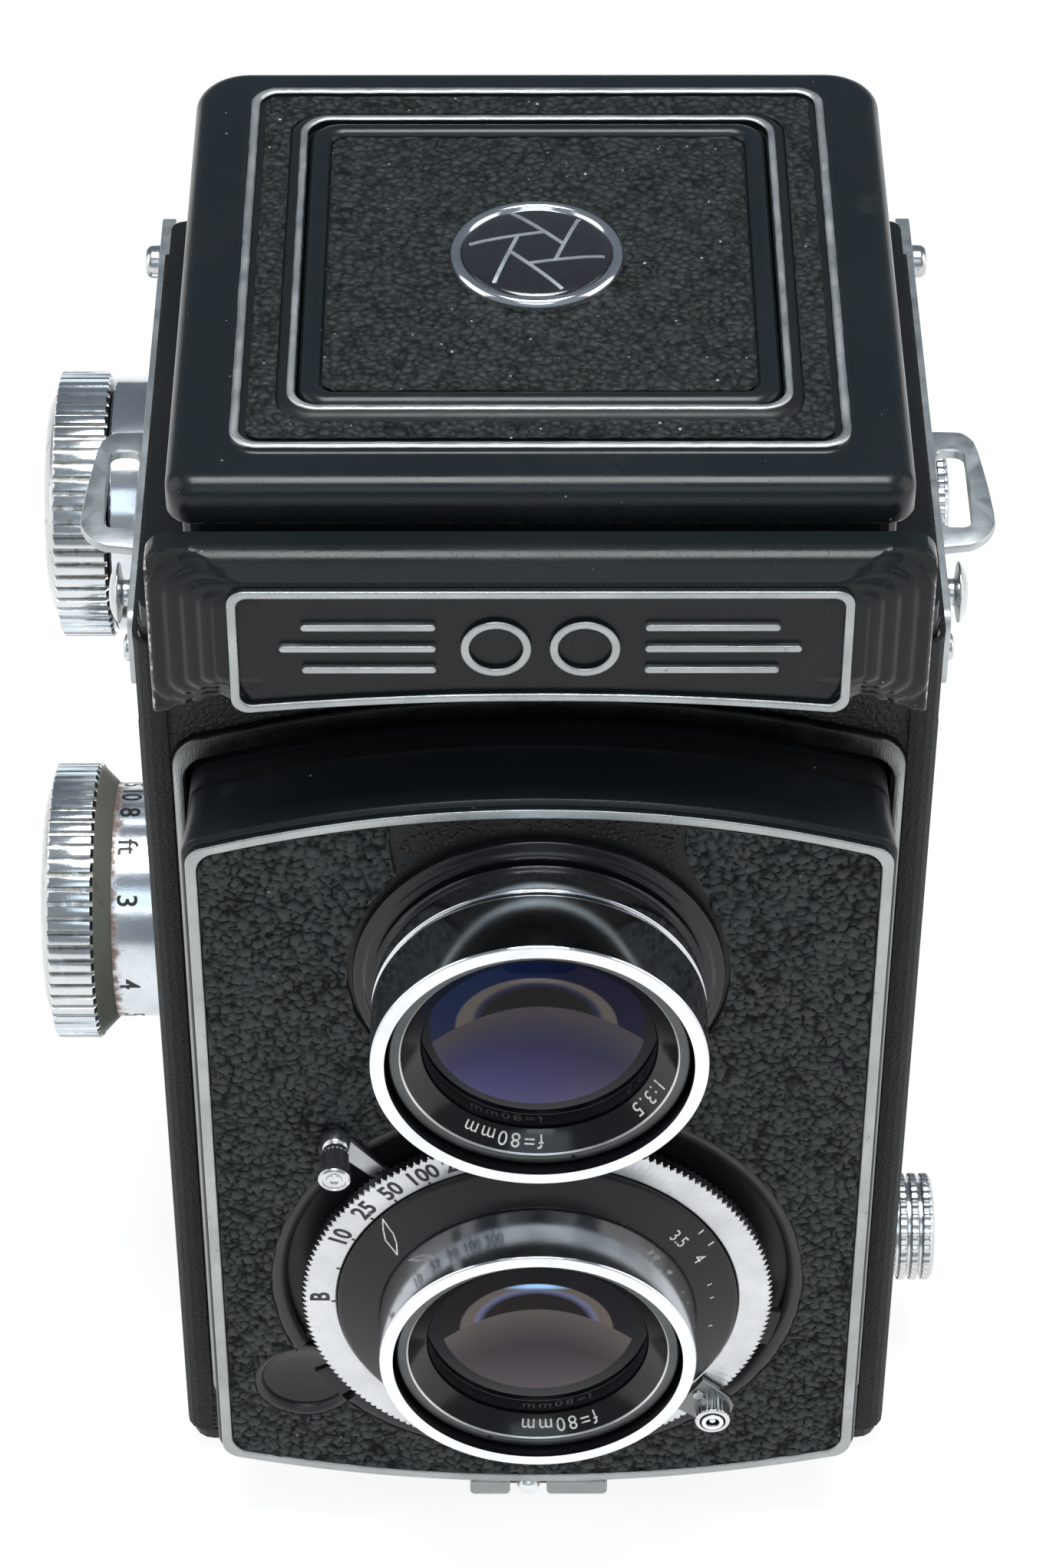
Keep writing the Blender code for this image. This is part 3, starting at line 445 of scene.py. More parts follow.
# ===================================================================== metals
SATIN = metal("satin_trim", (0.42, 0.44, 0.44), rough=0.38, rust=0.24, grime=0.7,
              brush=(1.0, 1.0, 0.08), fine=0.02)
SATIN_TOP = metal("satin_lid_trim", (0.56, 0.575, 0.57), rough=0.36, rust=0.12, grime=0.4,
                  fine=0.03)
FLANGE = metal("flange_alloy", (0.33, 0.345, 0.345), rough=0.27, rust=0.26, grime=0.55,
               brush=(1.0, 1.0, 0.07), fine=0.018)
# painted shade: the band turns near black towards its top, under the nameplate
FLANGE.lay_over(FLANGE.split()[2].step(99.5, 107.0) * 0.96, (0.012, 0.014, 0.015))
STRAP = metal("strap_plate_metal", (0.50, 0.53, 0.54), rough=0.40, rust=0.10, grime=0.35,
              brush=(0.06, 1.0, 1.0))
CHROME = metal("chrome_plate", (0.70, 0.72, 0.75), rough=0.11, grime=0.12, fine=0.004)
CHROME_FRONT = metal("chrome_rim", (0.90, 0.93, 0.95), rough=0.30, grime=0.10, fine=0.004)
CHROME_DIRTY = metal("chrome_dirty", (0.62, 0.63, 0.63), rough=0.20, rust=0.30, grime=0.6,
                     fine=0.01, spots=0.8)
KNURL = metal("knurled_chrome", (0.66, 0.67, 0.68), rough=0.18, rust=0.22, grime=0.5,
              fine=0.01, spots=0.6)
STEEL = metal("inner_steel", (0.42, 0.43, 0.44), rough=0.36, rust=0.05)
SPEED = metal("speed_scale_satin", (0.66, 0.675, 0.685), rough=0.33, rust=0.04, grime=0.35,
              fine=0.01)
SPEED_SIDE = metal("speed_scale_side", (0.10, 0.105, 0.11), rough=0.4, grime=0.5)
MIRROR = metal("front_mirror", (0.86, 0.88, 0.88), rough=0.03, grime=0.05, fine=0.001)
TARNISHED = metal("bevel_tarnished", (0.27, 0.27, 0.23), rough=0.32, rust=0.75, grime=0.9,
                  fine=0.03, rust_colour=(0.14, 0.06, 0.025))
RING_DARK = metal("ring_dark", (0.105, 0.112, 0.115), rough=0.34, grime=0.5, fine=0.01)
EDGE_WORN = metal("ring_edge_worn", (0.66, 0.66, 0.64), rough=0.30, grime=0.8)
SOCKET_ARM = metal("socket_arm_tarnished", (0.20, 0.21, 0.21), rough=0.34, rust=0.25,
                   grime=0.8)
LATCH = metal("latch_chrome", (0.66, 0.67, 0.69), rough=0.16, rust=0.08)
BUSH = metal("bush_steel", (0.50, 0.51, 0.52), rough=0.28, rust=0.1, grime=0.4)
RIB_ADVANCE = rib_metal("knob_ribs_advance", ADVANCE, ADVANCE_R)
RIB_FOCUS = rib_metal("knob_ribs_focus", FOCUS, FOCUS_R)


def distance_drum():
    """bright drum with rust creeping over its outer end"""
    mat = metal("distance_drum", (0.66, 0.70, 0.74), rough=0.17, rust=0.04, grime=0.25,
                fine=0.008)
    ragged_x = mat.split()[0] + (mat.noise(2.2, detail=6, rough=0.75) - 0.5) * 4.2
    rust = 1.0 - ragged_x.step(-44.3 + BUSH_X, -43.2 + BUSH_X)
    mat.lay_over(rust * 0.9, mat.mix(mat.noise(0.7, detail=4, rough=0.7),
                                     (0.09, 0.075, 0.06), (0.34, 0.14, 0.075)))
    mat.set("Roughness", 0.17 + rust * 0.4)
    mat.set("Metallic", 1.0 - rust * 0.7)
    return mat


DRUM = distance_drum()

# ===================================================================== inks, glass, leather
WHITE_INK = ink("white_engraving", (0.62, 0.62, 0.58), rough=0.5, size=0.35,
                limits=(0.50, 0.72), fresh=(0.70, 0.70, 0.66), faded=(0.20, 0.19, 0.17))
BLACK_INK = ink("black_engraving", (0.012, 0.012, 0.013), rough=0.45, size=0.3,
                limits=(0.55, 0.75), fresh=(0.010, 0.010, 0.011), faded=(0.07, 0.07, 0.07))
SCREEN = Mat("focusing_screen", (0.74, 0.76, 0.74), rough=0.45)
SCREEN.bump(SCREEN.noise(0.05, detail=2), 0.01)
ENAMEL = Mat("badge_enamel", (0.006, 0.006, 0.008), rough=0.12, spec=0.6, Coat_Weight=0.5,
             Coat_Roughness=0.05)
ENAMEL.set("Base Color", ENAMEL.mix(ENAMEL.noise(1.1, detail=4, rough=0.6),
                                    (0.004, 0.004, 0.006), (0.014, 0.014, 0.018)))
ENAMEL.bump(ENAMEL.noise(0.7, detail=4, rough=0.6), 0.02)
GLASS = Mat("clear_glass", (0.9, 0.93, 0.92), rough=0.02, Transmission_Weight=1.0, IOR=1.52)
GLASS.bump(GLASS.noise(4.0, detail=2), 0.001)
# front glasses whose reflections are painted on and glow
VIEW_GLASS = glass_with_painted_reflections(
    "viewing_glass_painted_reflections", VIEW_LENS, VIEW_GLASS_Y,
    side=((0.0008, 0.0075, 0.040), (0.0015, 0.0015, 0.018)),
    low=((0.050, 0.043, 0.050), (0.018, 0.017, 0.046), (0.044, 0.036, 0.085),
         (0.034, 0.034, 0.135)),
    band=(0.088, 0.077, 0.066),
    inner=((0.0055, 0.0045, 0.0050), (0.020, 0.024, 0.070)),
    flare=(6.04129, (0.115, 0.105, 0.105)),
    horizon=(3.94060, 0.0348),
    stop=(-0.18, 1.76748, 10.15, 7.43),
    outer=(-0.29, 1.91235, 7.66, 4.78),
    hole=(-0.18, 2.27454, 6.2, 4.05))
TAKE_GLASS = glass_with_painted_reflections(
    "taking_glass_painted_reflections", TAKE_LENS, TAKE_GLASS_Y,
    side=((0.0050, 0.0040, 0.0045), (0.0025, 0.0022, 0.0060)),
    low=((0.094, 0.080, 0.079), (0.036, 0.028, 0.034), (0.066, 0.056, 0.066),
         (0.050, 0.040, 0.048)),
    band=(0.112, 0.096, 0.088),
    inner=((0.0085, 0.0062, 0.0060), (0.170, 0.190, 0.360)),
    flare=(5.81296, (0.36, 0.62, 1.0)),
    horizon=(3.79511, 0.0385),
    stop=(0.0, 2.24292, 9.85, 7.30),
    outer=(-0.15, 1.46682, 7.75, 5.03),
    hole=(-0.15, 1.85487, 6.3, 4.15))
# leather colours: painted shade in the creases and a painted highlight on the crests; the lid's
# pale specks are painted glints
FRONT_LEATHER = grain("leather_front", (0.0155, 0.0200, 0.0205), axis=1,
                      bottom=BOARD_Y - 0.27 + BUSH_Y, crest=BOARD_Y - 0.50 + BUSH_Y,
                      rough=0.44, spec=0.30, size=1.0, top=1.35, worn=0.5)
LID_LEATHER = grain("leather_lid", (0.0125, 0.0160, 0.0160), axis=2, bottom=139.24,
                    crest=139.50, rough=0.38, spec=0.34, specks=0.14, size=0.9, top=1.7)
SIDE_LEATHER = leather("leather_side", (0.0095, 0.0108, 0.0110), size=0.50, depth=0.05,
                       rough=0.60, spec=0.26)
SHELL = leather("body_shell_covering", (0.0105, 0.0125, 0.0130), size=0.62, depth=0.10,
                rough=0.46, spec=0.32)
BACK_LEATHER = leather("leather_back", (0.014, 0.016, 0.0165), size=0.9, depth=0.09,
                       rough=0.50, spec=0.34)


# ===================================================================== outlines
def pairs(points):
    """each point of a closed outline with the next one"""
    return zip(points, points[1:] + points[:1])


def lerp(start, end, t):
    return (start[0] + (end[0] - start[0]) * t, start[1] + (end[1] - start[1]) * t)


def quarter(x, y, radius, start, steps, counts):
    """points of a quarter circle that begins at start degrees"""
    angles = [radians(start + 90.0 * i / steps) for i in counts]
    return [(x + radius * cos(a), y + radius * sin(a)) for a in angles]


def circle(centre, radius, count):
    return [(centre[0] + radius * cos(2 * pi * i / count),
             centre[1] + radius * sin(2 * pi * i / count)) for i in range(count)]


def round_rect(x0, x1, y0, y1, radius, steps=8):
    """counter-clockwise from the lower left; radius is one, or four in the same order"""
    r0, r1, r2, r3 = radius if isinstance(radius, tuple) else (radius,) * 4
    counts = range(steps + 1)
    return (quarter(x0 + r0, y0 + r0, r0, 180, steps, counts)
            + quarter(x1 - r1, y0 + r1, r1, 270, steps, counts)
            + quarter(x1 - r2, y1 - r2, r2, 0, steps, counts)
            + quarter(x0 + r3, y1 - r3, r3, 90, steps, counts))


def resample(points, step):
    """closed outline with its edges cut into pieces of about one step"""
    out = []
    for p, q in pairs(points):
        count = max(1, int(round(hypot(q[0] - p[0], q[1] - p[1]) / step)))
        out += [(p[0] + (q[0] - p[0]) * k / count, p[1] + (q[1] - p[1]) * k / count)
                for k in range(count)]
    return out


def board_outline(half_x, top_z, bottom_z, radius, grow=0.0):
    """lens board shape: bowed top and bottom, straight sides, rounded corners"""
    half_x += grow
    flat, steps, side_steps, ease = 40, 10, 30, 0.35
    end = half_x - radius

    def top(x):
        return top_z + grow - 4.0 * (x / 28.5) ** 2

    def bottom(x):
        return bottom_z - grow + 4.1 * (x / 31.5) ** 2

    def corner(x, z, start, shift0, shift1):
        arc = quarter(x, z, radius, start, steps, range(1, steps))
        return [(p[0], p[1] + shift0 + (shift1 - shift0) * (i + 1) / steps)
                for i, p in enumerate(arc)]

    low, high = bottom(end) + radius, top(end) - radius
    z0, z1 = low + ease, high - ease
    across = [-end + 2 * end * i / flat for i in range(flat + 1)]
    back = [end - 2 * end * i / flat for i in range(flat + 1)]
    sides = range(side_steps + 1)
    return ([(x, bottom(x)) for x in across]
            + corner(end, low, -90, 0.0, ease)
            + [(half_x, z0 + (z1 - z0) * i / side_steps) for i in sides]
            + corner(end, high, 0, -ease, 0.0)
            + [(x, top(x)) for x in back]
            + corner(-end, high, 90, 0.0, -ease)
            + [(-half_x, z1 + (z0 - z1) * i / side_steps) for i in sides]
            + corner(-end, low, 180, ease, 0.0))


def soften(points, closed=False, steps=4):
    """polyline [(a, b, fillet?)] with rounded corners, and the source segment of each point"""
    out, source = [], []
    last = len(points) - 1
    for i, point in enumerate(points):
        fillet = point[2] if len(point) > 2 else 0.0
        if not fillet or not (closed or 0 < i < last):
            out.append((point[0], point[1]))
            source.append(i)
            continue
        before, after = points[i - 1], points[(i + 1) % len(points)]
        length0 = hypot(before[0] - point[0], before[1] - point[1])
        length1 = hypot(after[0] - point[0], after[1] - point[1])
        start = lerp(point, before, min(fillet, length0 * 0.5) / length0)
        end = lerp(point, after, min(fillet, length1 * 0.5) / length1)
        for k in range(steps + 1):
            t = k / steps
            out.append(tuple((1 - t) ** 2 * start[c] + 2 * t * (1 - t) * point[c]
                             + t * t * end[c] for c in (0, 1)))
            source.append(i if k >= steps / 2 else max(0, i - 1))
    return out, source


def inset(points, depth):
    """outline moved inwards along its corner normals"""
    area = sum(p[0] * q[1] - q[0] * p[1] for p, q in pairs(points))
    turn = 1 if area > 0 else -1
    out = []
    for i, here in enumerate(points):
        before, after = points[i - 1], points[(i + 1) % len(points)]
        first = Vector((here[0] - before[0], here[1] - before[1])).normalized()
        second = Vector((after[0] - here[0], after[1] - here[1])).normalized()
        normal = Vector((-first.y, first.x)) * turn
        middle = normal + Vector((-second.y, second.x)) * turn
        middle.normalize()
        reach = max(0.4, middle.dot(normal))
        out.append((here[0] + middle.x * depth / reach, here[1] + middle.y * depth / reach))
    return out


def inside(point, outline):
    x, y = point
    result = False
    for i in range(len(outline)):
        (xi, yi), (xj, yj) = outline[i], outline[i - 1]
        if (yi > y) != (yj > y) and x < (xj - xi) * (y - yi) / (yj - yi) + xi:
            result = not result
    return result


# ===================================================================== relief
def fractal(x, y, z, size):
    return noise.fractal(Vector((x / size, y / size, z)), 0.9, 2.1, 3,
                         noise_basis="PERLIN_ORIGINAL")


def ragged(points, amount, size, seed, other_seed=4.0, amount_y=None):
    """outline pushed about by noise"""
    amount_y = amount if amount_y is None else amount_y
    return [(x + amount * fractal(x, y, seed, size),
             y + amount_y * fractal(x, y, seed + other_seed, size)) for x, y in points]


def pebbles(x, y, size, seed=0.0):
    """rounded grains: 0 in the creases, 1 on top"""
    wave = (x / size * 0.8, y / size * 0.8)
    bent_x = x + 0.25 * size * noise.noise(Vector((*wave, 3.1 + seed)))
    bent_y = y + 0.25 * size * noise.noise(Vector((*wave, 8.7 + seed)))
    distances, _ = noise.voronoi(Vector((bent_x / size, bent_y / size, seed)))
    t = min(1.0, (distances[1] - distances[0]) / 0.45)
    return t * (2 - t)


def front_relief(x, z):
    return 0.26 * pebbles(x, z, 1.02) + 0.04 * fractal(x, z, 2.0, 5.0) \
        + 0.03 * fractal(x, z, 7.0, 0.4)


def lid_relief(x, y):
    return 0.19 * pebbles(x, y * 1.25, 0.92, 4.0) + 0.03 * fractal(x, y, 2.0, 3.0) \
        + 0.02 * fractal(x, y, 6.0, 0.3)


# ===================================================================== meshes
def place(axis, first, second, height):
    """point from the two coordinates across an axis and the one along it"""
    if axis == "X":
        return (height, first, second)
    return (first, height, second) if axis == "Y" else (first, second, height)


def pick(materials, i):
    """material of segment i; the last of a list holds for all that follow"""
    if isinstance(materials, Mat):
        return materials
    return materials[min(i, len(materials) - 1)]


def directed_edges(faces):
    return [(face[i], face[(i + 1) % len(face)]) for face in faces for i in range(len(face))]


def back_and_walls(faces, edges, count):
    """underside of a flat patch, count vertices further on, and the walls round it"""
    back = [[i + count for i in face][::-1] for face in faces]
    return back + [[b, a, a + count, b + count] for a, b in edges if (b, a) not in edges]


def text_shape(body, size, weight, gap):
    """flat vertices and faces of a line of text in the built-in font"""
    curve = bpy.data.curves.new("t", "FONT")
    curve.body = body
    curve.size = size
    curve.align_x = "CENTER"
    curve.resolution_u = 3
    curve.offset = weight * size
    curve.space_character = gap
    ob = bpy.data.objects.new("t", curve)
    bpy.context.scene.collection.objects.link(ob)
    bpy.context.view_layer.update()
    depsgraph = bpy.context.evaluated_depsgraph_get()
    mesh = bpy.data.meshes.new_from_object(ob.evaluated_get(depsgraph))
    points = [(v.co.x, v.co.y) for v in mesh.vertices]
    faces = [list(polygon.vertices) for polygon in mesh.polygons]
    bpy.data.objects.remove(ob)
    bpy.data.curves.remove(curve)
    bpy.data.meshes.remove(mesh)
    return points, faces


def grid_points(outlines, step):
    """jittered grid inside the outlines; cells they touch stay empty to avoid slivers"""
    jitter = random.Random(11)
    touched = {(int(math.floor(x / step)), int(math.floor(y / step)))
               for outline in outlines for x, y in resample(outline, step * 0.5)}
    heights = [p[1] for p in outlines[0]]
    out = []
    j = int(math.floor(min(heights) / step))
    while j * step < max(heights):
        y = (j + 0.5) * step
        cuts = sorted((xb - xa) * (y - ya) / (yb - ya) + xa
                      for outline in outlines for (xa, ya), (xb, yb) in pairs(outline)
                      if (ya > y) != (yb > y))
        for k in range(0, len(cuts) - 1, 2):
            i = int(math.ceil(cuts[k] / step - 0.5))
            while (i + 0.5) * step < cuts[k + 1]:
                if (i, j) not in touched:
                    out.append(Vector(((i + 0.5 + jitter.uniform(-0.3, 0.3)) * step,
                                       (j + 0.5 + jitter.uniform(-0.3, 0.3)) * step)))
                i += 1
        j += 1
    return out


class Piece:
    """Collects faces in millimetres and turns them into one object."""

    def __init__(self):
        self.vertices, self.faces, self.slots, self.materials = [], [], [], []

    def face(self, corners, mat):
        if mat not in self.materials:
            self.materials.append(mat)
        self.faces.append(corners)
        self.slots.append(self.materials.index(mat))

    def add(self, vertices, faces, mat):
        start = len(self.vertices)
        self.vertices += vertices
        for face in faces:
            self.face([i + start for i in face], mat)

    def cap(self, start, count, mat, flip):
        corners = list(range(start, start + count))
        self.face(corners[::-1] if flip else corners, mat)

    def loft(self, rings, materials, caps=None, closed=False):
        """Rings of equal length, each closed in itself; caps are the two end materials,
        closed joins the last ring to the first."""
        start, count, total = len(self.vertices), len(rings[0]), len(rings)
        for ring in rings:
            self.vertices += ring
        for i in range(total if closed else total - 1):
            low, high = start + i * count, start + (i + 1) % total * count
            for j in range(count):
                k = (j + 1) % count
                self.face([low + j, low + k, high + k, high + j], pick(materials, i))
        if caps:
            self.cap(start, count, caps[0], True)
            self.cap(start + (total - 1) * count, count, caps[1], False)

    def lathe(self, axis, centre, profile, materials, count=128, closed=False, soft=4,
              radial=None):
        """Turned shape of [(radius, height, fillet?)] with a material per segment; radial
        changes a radius by height and angle."""
        points, source = soften(profile, closed, soft)
        start, total = len(self.vertices), len(points)
        for r, height in points:
            for i in range(count):
                a = 2 * pi * i / count
                reach = radial(r, height, a) if radial else r
                self.vertices.append(place(axis, reach * cos(a) + centre[0],
                                           reach * sin(a) + centre[1], height))
        for i in range(total if closed else total - 1):
            low, high = start + i * count, start + (i + 1) % total * count
            mat = pick(materials, source[i])
            for j in range(count):
                k = (j + 1) % count
                if points[i][0] <= 1e-6:
                    self.face([low, high + k, high + j], mat)
                elif points[(i + 1) % total][0] <= 1e-6:
                    self.face([low + j, low + k, high], mat)
                else:
                    self.face([low + j, low + k, high + k, high + j], mat)
        if not closed:
            if points[0][0] > 1e-6:
                self.cap(start, count, pick(materials, source[0]), True)
            if points[-1][0] > 1e-6:
                self.cap(start + (total - 1) * count, count, pick(materials, source[-1]),
                         False)

    def prism(self, outline, axis, start, end, mat, bevel=0.0):
        """outline pushed along an axis, with a rounded edge at its end"""
        rings = [(outline, start)]
        if bevel:
            back = -bevel if end > start else bevel
            rings.append((outline, end + back))
            for k in range(1, 4):
                a = pi / 2 * k / 3
                rings.append((inset(outline, bevel * (1 - cos(a))),
                              end + back * (1 - sin(a))))
        else:
            rings.append((outline, end))
        self.loft([[place(axis, *p, height) for p in points] for points, height in rings],
                  mat, (mat, mat))

    def ring(self, section, outline, axis, materials):
        """closed section [(inset, height, fillet?)] swept round outline(inset)"""
        points, source = soften(section, True, 3)
        self.loft([[place(axis, *p, height) for p in outline(depth)]
                   for depth, height in points],
                  [pick(materials, s) for s in source], closed=True)

    def sheet(self, outer, hole, step, position, thickness, relief, top_mat, side_mat):
        """Fine triangle mesh between an outline and a hole in it. position(a, b, out) is the
        point at a height above the base, relief(a, b) the height over the thickness."""
        outlines = (outer, hole)
        points, edges = [], []
        for outline in outlines:
            first, count = len(points), len(outline)
            points += [Vector(p) for p in outline]
            edges += [(first + i, first + (i + 1) % count) for i in range(count)]
        border = len(points)
        points += grid_points(outlines, step)
        flat, _, triangles, *_ = delaunay_2d_cdt(points, edges, [], 0, 1e-6)
        faces = []
        for face in triangles:
            middle = [sum(flat[i][c] for i in face) / 3.0 for c in (0, 1)]
            if all(i >= border for i in face) or (
                    inside(middle, outer) and not inside(middle, hole)):
                faces.append(list(face))
        vertices = [position(p[0], p[1], thickness + relief(p[0], p[1])) for p in flat]
        vertices += [position(p[0], p[1], 0.0) for p in flat]
        edges = dict.fromkeys(directed_edges(faces))
        # both halves carry all the vertices; finish joins them
        self.add(vertices, faces, top_mat)
        self.add(vertices, back_and_walls(faces, edges, len(flat)), side_mat)

    def text(self, body, size, position, mat, stretch=1.0, weight=0.0, gap=1.0):
        """raised letters through position(along, up, out)"""
        points, faces = text_shape(body, size, weight, gap)
        vertices = [position(x * stretch, y, out) for out in (0.02, -0.02) for x, y in points]
        edges = set(directed_edges(faces))
        self.add(vertices, faces + back_and_walls(faces, edges, len(points)), mat)

    def finish(self, name, body, replaced, angle=34):
        mesh = bpy.data.meshes.new(name)
        mesh.from_pydata([((x + BUSH_X) * MM, (y + BUSH_Y) * MM, z * MM)
                          for x, y, z in self.vertices], [], self.faces)
        for mat in self.materials:
            mesh.materials.append(mat.material)
        mesh.polygons.foreach_set("material_index", self.slots)
        bm = bmesh.new()
        bm.from_mesh(mesh)
        bmesh.ops.remove_doubles(bm, verts=bm.verts, dist=1.5e-6)
        bmesh.ops.dissolve_degenerate(bm, dist=1e-7, edges=bm.edges)
        bmesh.ops.recalc_face_normals(bm, faces=bm.faces)
        bm.to_mesh(mesh)
        bm.free()
        mesh.shade_smooth()
        mesh.set_sharp_from_angle(angle=radians(angle))
        ob = bpy.data.objects.new(name, mesh)
        bpy.context.scene.collection.objects.link(ob)
        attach(ob, body)
        if replaced:
            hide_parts(replaced)


def upright(points, y):
    """outline of (x, z) stood up at a depth y"""
    return [(x, y, z) for x, z in points]


def level(points, z):
    return [(x, y, z) for x, y in points]


# ===================================================================== lens board
def lens_board_casting():
    part = Piece()
    edge = 0.6
    rings = [upright(board_outline(*CASTING, -0.62), -46.4)]
    for k in range(7):
        a = pi / 2 * k / 6
        rings.append(upright(board_outline(*CASTING, -edge * (1 - sin(a))),
                             BOARD_Y + edge - edge * cos(a)))
    # y, half width, top z, bottom z of the stations behind the front edge
    for y, half_x, top, bottom in ((-44.0, 33.35, 106.0, 6.75), (-41.0, 33.2, 106.4, 6.6),
                                   (-38.3, 33.1, 106.9, 6.6)):
        rings.append(upright(board_outline(half_x, top, bottom, 2.2), y))
    part.loft(rings, [BLACK_SATIN, PAINT], (BLACK_SATIN, PAINT))
    part.finish("lens_board_casting", "lens_board", "lens_board")


def board_trim():
    part = Piece()
    part.ring([(0.0, -47.3), (0.0, -47.95, 0.1), (0.12, -48.10, 0.12), (1.0, -48.10, 0.12),
               (1.12, -47.95, 0.1), (1.12, -47.3)],
              lambda depth: board_outline(*TRIMMED, -depth), "Y",
              [PAINT] + [SATIN] * 3 + [TARNISHED])
    part.finish("board_trim_line", "lens_board", "board_trim", 50)


# edges of the missing leather above the viewing lens, (x, z); left upwards, right downwards
TEAR_LEFT = [(-16.4, 92.6), (-14.7, 94.7), (-13.5, 96.7), (-13.9, 98.7), (-14.05, 100.9)]
TEAR_RIGHT = [(13.7, 99.5), (14.2, 97.6), (14.6, 96.7), (15.4, 94.8), (16.6, 92.5)]
TEAR_TOP_LEFT, TEAR_TOP_RIGHT = -14.1, 13.6


def torn(points, seed):
    """open line cut into half-millimetre pieces and roughened"""
    jag = 0.12
    out = []
    for start, end in zip(points[:-1], points[1:]):
        count = max(1, int(hypot(end[0] - start[0], end[1] - start[1]) / 0.5))
        for k in range(count):
            x, z = lerp(start, end, k / count)
            out.append((x + jag * fractal(x * 3, z * 3, seed, 1.3),
                        z + jag * fractal(x * 3, z * 3, seed + 4, 1.3)))
    out.append(points[-1])
    return out


def front_leather_outline():
    """round the board, down the right tear, under the viewing mount, up the left tear"""
    edge = ragged(resample(board_outline(*TRIMMED, -1.22), 0.8), 0.05, 1.1, 1.0,
                  amount_y=0.07)

    def on_top_edge(x):
        return min(range(len(edge)),
                   key=lambda i: abs(edge[i][0] - x) + (0 if edge[i][1] > 95 else 99))

    kept = edge[on_top_edge(TEAR_TOP_LEFT):] + edge[:on_top_edge(TEAR_TOP_RIGHT) + 1]
    right = torn([(TEAR_TOP_RIGHT, kept[-1][1])] + TEAR_RIGHT, 1.0)
    left = torn(TEAR_LEFT + [(TEAR_TOP_LEFT, kept[0][1])], 2.0)
    radius, steps = 18.4, 70
    start = math.atan2(TEAR_LEFT[0][1] - VIEW_Z, TEAR_LEFT[0][0])
    end = math.atan2(TEAR_RIGHT[-1][1] - VIEW_Z, TEAR_RIGHT[-1][0]) + 2 * pi
    angles = [start + (end - start) * k / steps for k in range(steps, -1, -1)]
    under = [(radius * cos(a), VIEW_Z + radius * sin(a)) for a in angles]
    return kept + right[1:-1] + under + left[1:-1]


def arc_outside(centre, radius, count, other, other_radius):
    """the run of a circle's points that lies outside another circle"""
    points = [p for p in circle(centre, radius, count) if math.dist(p, other) > other_radius]
    start = max(range(len(points)), key=lambda i: math.dist(points[i], points[i - 1]))
    return points[start:] + points[:start]


# the well and its finger recess as one hole
WELL = (arc_outside(TAKE_LENS, WELL_R, 200, RECESS, RECESS_R)
        + arc_outside(RECESS, RECESS_R, 120, TAKE_LENS, WELL_R))


def front_leather():
    part = Piece()
    part.sheet(front_leather_outline(), WELL, 0.26,
               lambda x, z, out: (x, BOARD_Y - out, z), 0.26, front_relief,
               FRONT_LEATHER, SIDE_LEATHER)
    part.finish("front_leather_sheet", "lens_board", "front_leather", 60)


def glue_lumps(part):
    """torn leather and old glue standing in lumps above the viewing mount"""
    draw = random.Random(21).uniform
    sides = 7
    for k in range(320):
        x = draw(-13.0, 13.0)
        z = draw(99.2, 103.2) if k % 3 else draw(95.0, 103.0)
        if hypot(x, z - VIEW_Z) < 18.6 or z > 103.6 - 4.0 * (x / 28.5) ** 2:
            continue
        radius = draw(0.10, 0.34)
        foot = [(x + radius * draw(0.7, 1.3) * cos(2 * pi * i / sides),
                 z + radius * draw(0.7, 1.3) * sin(2 * pi * i / sides)) for i in range(sides)]
        height = draw(0.06, 0.24)
        part.loft([upright([lerp((x, z), p, scale) for p in foot], y)
                   for scale, y in ((1.0, -47.45), (0.8, BOARD_Y - height * 0.7),
                                    (0.35, BOARD_Y - height))], LUMPS, (LUMPS, LUMPS))


def board_front_plate():
    """front of the board, with the well and the finger recess cut through it"""
    part = Piece()
    part.sheet(board_outline(*CASTING, -0.63), WELL, 2.4,
               lambda x, z, out: (x, -46.42 - out, z), 1.08, lambda x, z: 0.0,
               GLUE, BLACK_SATIN)
    glue_lumps(part)
    part.finish("board_front_plate", "lens_board", None, 40)


def board_sleeve():
    """reaches into the body and closes the gap when the board is racked out"""
    outer, inner = [], []
    for (p, q), (r, s) in zip(pairs(board_outline(33.06, 106.86, 6.64, 2.3)),
                              pairs(board_outline(31.6, 105.4, 8.1, 2.0))):
        count = max(1, int(hypot(q[0] - p[0], q[1] - p[1]) / 1.5))
        outer += [lerp(p, q, k / count) for k in range(count)]
        inner += [lerp(r, s, k / count) for k in range(count)]

    def end(points):
        """shorter below, where the supply spool lies"""
        return [(x, -28.6 - 3.6 * min(1.0, max(0.0, (33.5 - z) / 1.5)), z) for x, z in points]

    part = Piece()
    part.loft([upright(outer, -41.0), end(outer), end(inner), upright(inner, -41.0)],
              BLACK_SATIN, closed=True)
    part.finish("board_sleeve", "lens_board", None, 40)


def open_rim(part, centre, radius, other, other_radius, reach):
    """rounded rim round a circle, left open inside the other circle"""
    # distance inwards and y
    section = [(-0.05, -47.2), (-0.05, -47.72), (0.08, -47.88), (0.32, -47.93),
               (0.75, -47.86), (1.2, -47.66), (1.5, -47.4), (1.6, -47.0), (1.0, -46.6),
               (0.0, -46.6)]
    count = 720
    shown = [math.dist(p, other) >= other_radius for p in circle(centre, radius, count)]
    i = next(i for i in range(count) if shown[i] and not shown[i - 1])
    angles = []
    while shown[i % count] and len(angles) < count:
        angles.append(2 * pi * i / count)
        i += 1
    angles = angles[::2] + ([angles[-1]] if len(angles) % 2 == 0 else [])
    # the rim carries the lighter paint that stands for its painted highlight
    part.loft([[(centre[0] + (radius - depth * reach) * cos(a), y,
                 centre[1] + (radius - depth * reach) * sin(a)) for depth, y in section]
               for a in angles], RIM_PAINTED_HIGHLIGHT, (RIM_PAINTED_HIGHLIGHT, RIM_PAINTED_HIGHLIGHT))


